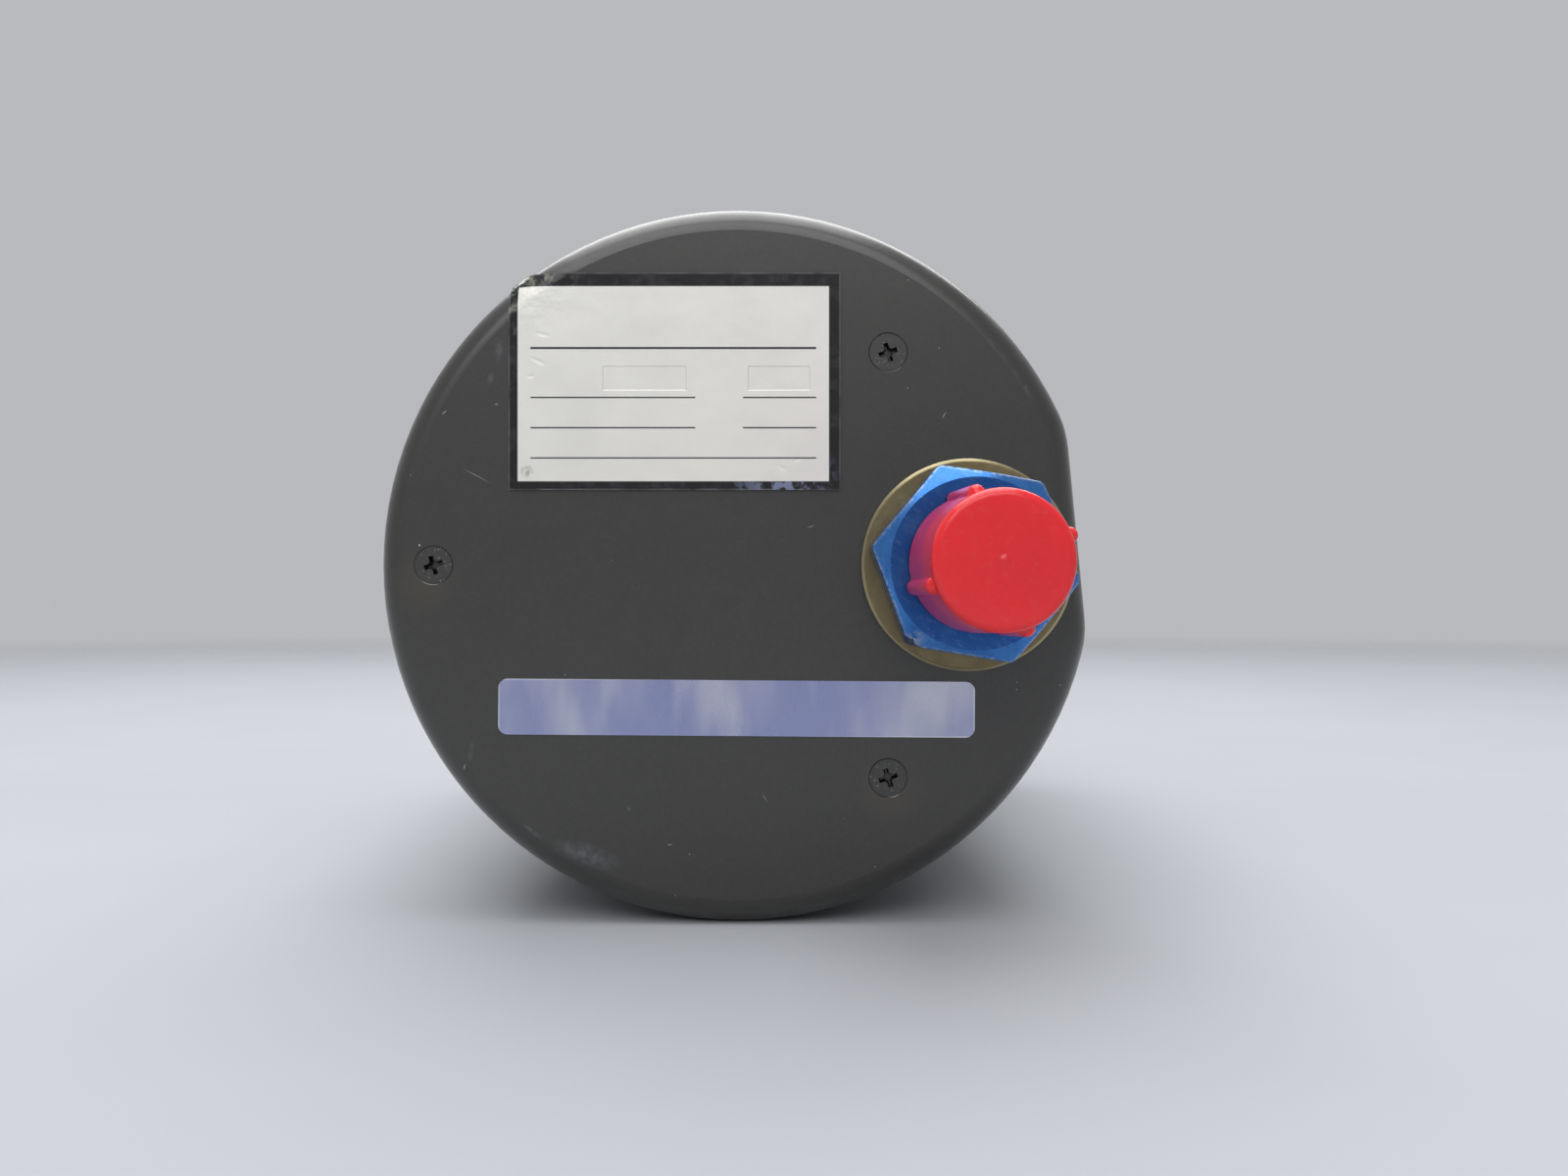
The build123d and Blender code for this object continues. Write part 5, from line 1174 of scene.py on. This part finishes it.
class SetStage(bpy.types.Operator):
    """Sets up the floor, lamps, sky and camera"""

    bl_idname = "indicator.set_stage"
    bl_label = "Set the stage"

    def execute(self, context):
        settings = context.scene.indicator_stage
        self.lay_floor(settings)
        self.light(settings)
        camera = bpy.data.objects.new("camera", bpy.data.cameras.new("camera"))
        camera.data.lens = settings.lens
        camera.data.sensor_width = SENSOR_WIDTH
        camera.data.clip_start = NEAREST_VIEW
        camera.location = settings.camera_place
        camera.rotation_euler = (math.radians(90), 0, math.radians(180))
        context.scene.collection.objects.link(camera)
        context.scene.camera = camera
        context.scene.view_settings.view_transform = "Standard"
        return {"FINISHED"}

    def lay_floor(self, settings):
        """A disc that touches the flange's and the can's rear lower edges, and fades out with distance.

        Its alpha falls from one to zero over the fade, so that no horizon shows.
        """
        bezel_y = cad_range("bezel", 1)[0] + FLANGE_REAR
        bezel_z = cad_range("bezel", 2)[0]
        can_y = CASE_END - END_EDGE_RADIUS
        can_z = cad_range("case_can", 2)[0]
        slope = (can_z - bezel_z) / (can_y - bezel_y)
        angle = np.radians(np.arange(0, 360, 5))
        ring = np.array([*FLOOR_RINGS, FLOOR_RINGS[-1], FLOOR_RINGS[0]])[:, None]
        drop = np.array([0] * len(FLOOR_RINGS) + [FLOOR_THICKNESS] * 2)[:, None]
        x = np.append((ring * np.cos(angle)).ravel(), [0, 0])
        y = np.append((ring * np.sin(angle)).ravel(), [0, 0])
        drop = np.append((drop + 0 * angle).ravel(), [0, FLOOR_THICKNESS])
        points = np.column_stack([x, y, bezel_z + slope * (y - bezel_y) - FLOOR_GAP - drop])
        mesh = bpy.data.meshes.new("floor")
        mesh.from_pydata((points * MM).tolist(), [], skin(points, angle.size, poles=True))
        look = Finish("pale_floor_board")
        flat = node(look.tree, "ShaderNodeMapping", {"Vector": look.place, "Scale": (1, 1, 0)}).outputs[0]
        away = node(look.tree, "ShaderNodeVectorMath", {0: flat}, operation="LENGTH").outputs["Value"]
        inputs = {0: away, 1: FLOOR_FADE[0], 2: FLOOR_FADE[1]}
        far = node(look.tree, "ShaderNodeMapRange", inputs, interpolation_type="SMOOTHSTEP").outputs[0]
        look.paint(settings.floor, (look.patches(90.0), "#b0b3b8"))
        look.tree.links.new(look.outside(far), look.surface.inputs["Alpha"])
        look.spread(look.patches(60.0), 0.75, 0.85)
        mesh.materials.append(look.material)
        floor = bpy.data.objects.new("floor", mesh)
        bpy.context.scene.collection.objects.link(floor)

    def light(self, settings):
        """Even sky and three soft boxes. What is seen directly, in reflections or through glass is the
        brighter backdrop."""
        world = bpy.data.worlds.new("sky")
        world.use_nodes = True
        tree = world.node_tree
        tree.nodes.clear()
        seen = node(tree, "ShaderNodeLightPath").outputs
        plain = seen["Is Transmission Ray"]
        for ray in ("Is Glossy Ray", "Is Camera Ray"):
            plain = node(tree, "ShaderNodeMath", {0: seen[ray], 1: plain}, operation="MAXIMUM").outputs[0]
        strength = node(tree, "ShaderNodeMapRange", {0: plain, 3: settings.sky, 4: settings.backdrop})
        sky = node(tree, "ShaderNodeBackground", {0: shade("#eef0f4"), 1: strength.outputs[0]})
        node(tree, "ShaderNodeOutputWorld", {"Surface": sky.outputs[0]})
        bpy.context.scene.world = world
        for name, power, (width, depth), place, target in LAMPS:
            lamp = bpy.data.lights.new(name, "AREA")
            lamp.energy = getattr(settings, power)
            lamp.shape = "RECTANGLE"
            lamp.size = width
            lamp.size_y = depth
            holder = bpy.data.objects.new(name, lamp)
            holder.location = place
            holder.visible_camera = False
            aim = [target[axis] - place[axis] for axis in range(3)]
            flat = math.hypot(aim[0], aim[1])
            holder.rotation_euler = (math.atan2(flat, -aim[2]), 0, math.atan2(-aim[0], aim[1]))
            bpy.context.scene.collection.objects.link(holder)


class IndicatorPanel(bpy.types.Panel):
    """Lists the steps that dress the instrument, with their sizes and colours"""

    bl_idname = "VIEW3D_PT_indicator"
    bl_label = "Vertical speed indicator"
    bl_space_type = "VIEW_3D"
    bl_region_type = "UI"
    bl_category = "Indicator"

    def draw(self, context):
        for step in STEPS:
            self.layout.operator(step.bl_idname)
        for group in SETTINGS:
            box = self.layout.box()
            settings = getattr(context.scene, group)
            for name in type(settings).__annotations__:
                box.prop(settings, name)


STEPS = (
    FinishCase, FinishMovement, MakeAdapter, MakeCap, MakeInserts, MakeSprings, PrintDial, RulePlate,
    SetStage,
)
SETTINGS = {
    "indicator_colours": IndicatorColours,
    "indicator_dial": IndicatorDial,
    "indicator_adapter": IndicatorAdapter,
    "indicator_stage": IndicatorStage,
}


def register():
    for kind in (*SETTINGS.values(), *STEPS, IndicatorPanel):
        bpy.utils.register_class(kind)
    for name, kind in SETTINGS.items():
        setattr(bpy.types.Scene, name, bpy.props.PointerProperty(type=kind))


def unregister():
    for name in SETTINGS:
        delattr(bpy.types.Scene, name)
    for kind in reversed((*SETTINGS.values(), *STEPS, IndicatorPanel)):
        bpy.utils.unregister_class(kind)


def main():
    """Registers the add-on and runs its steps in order."""
    register()
    for step in STEPS:
        group, name = step.bl_idname.split(".")
        getattr(getattr(bpy.ops, group), name)()


if __name__ == "__main__":
    main()
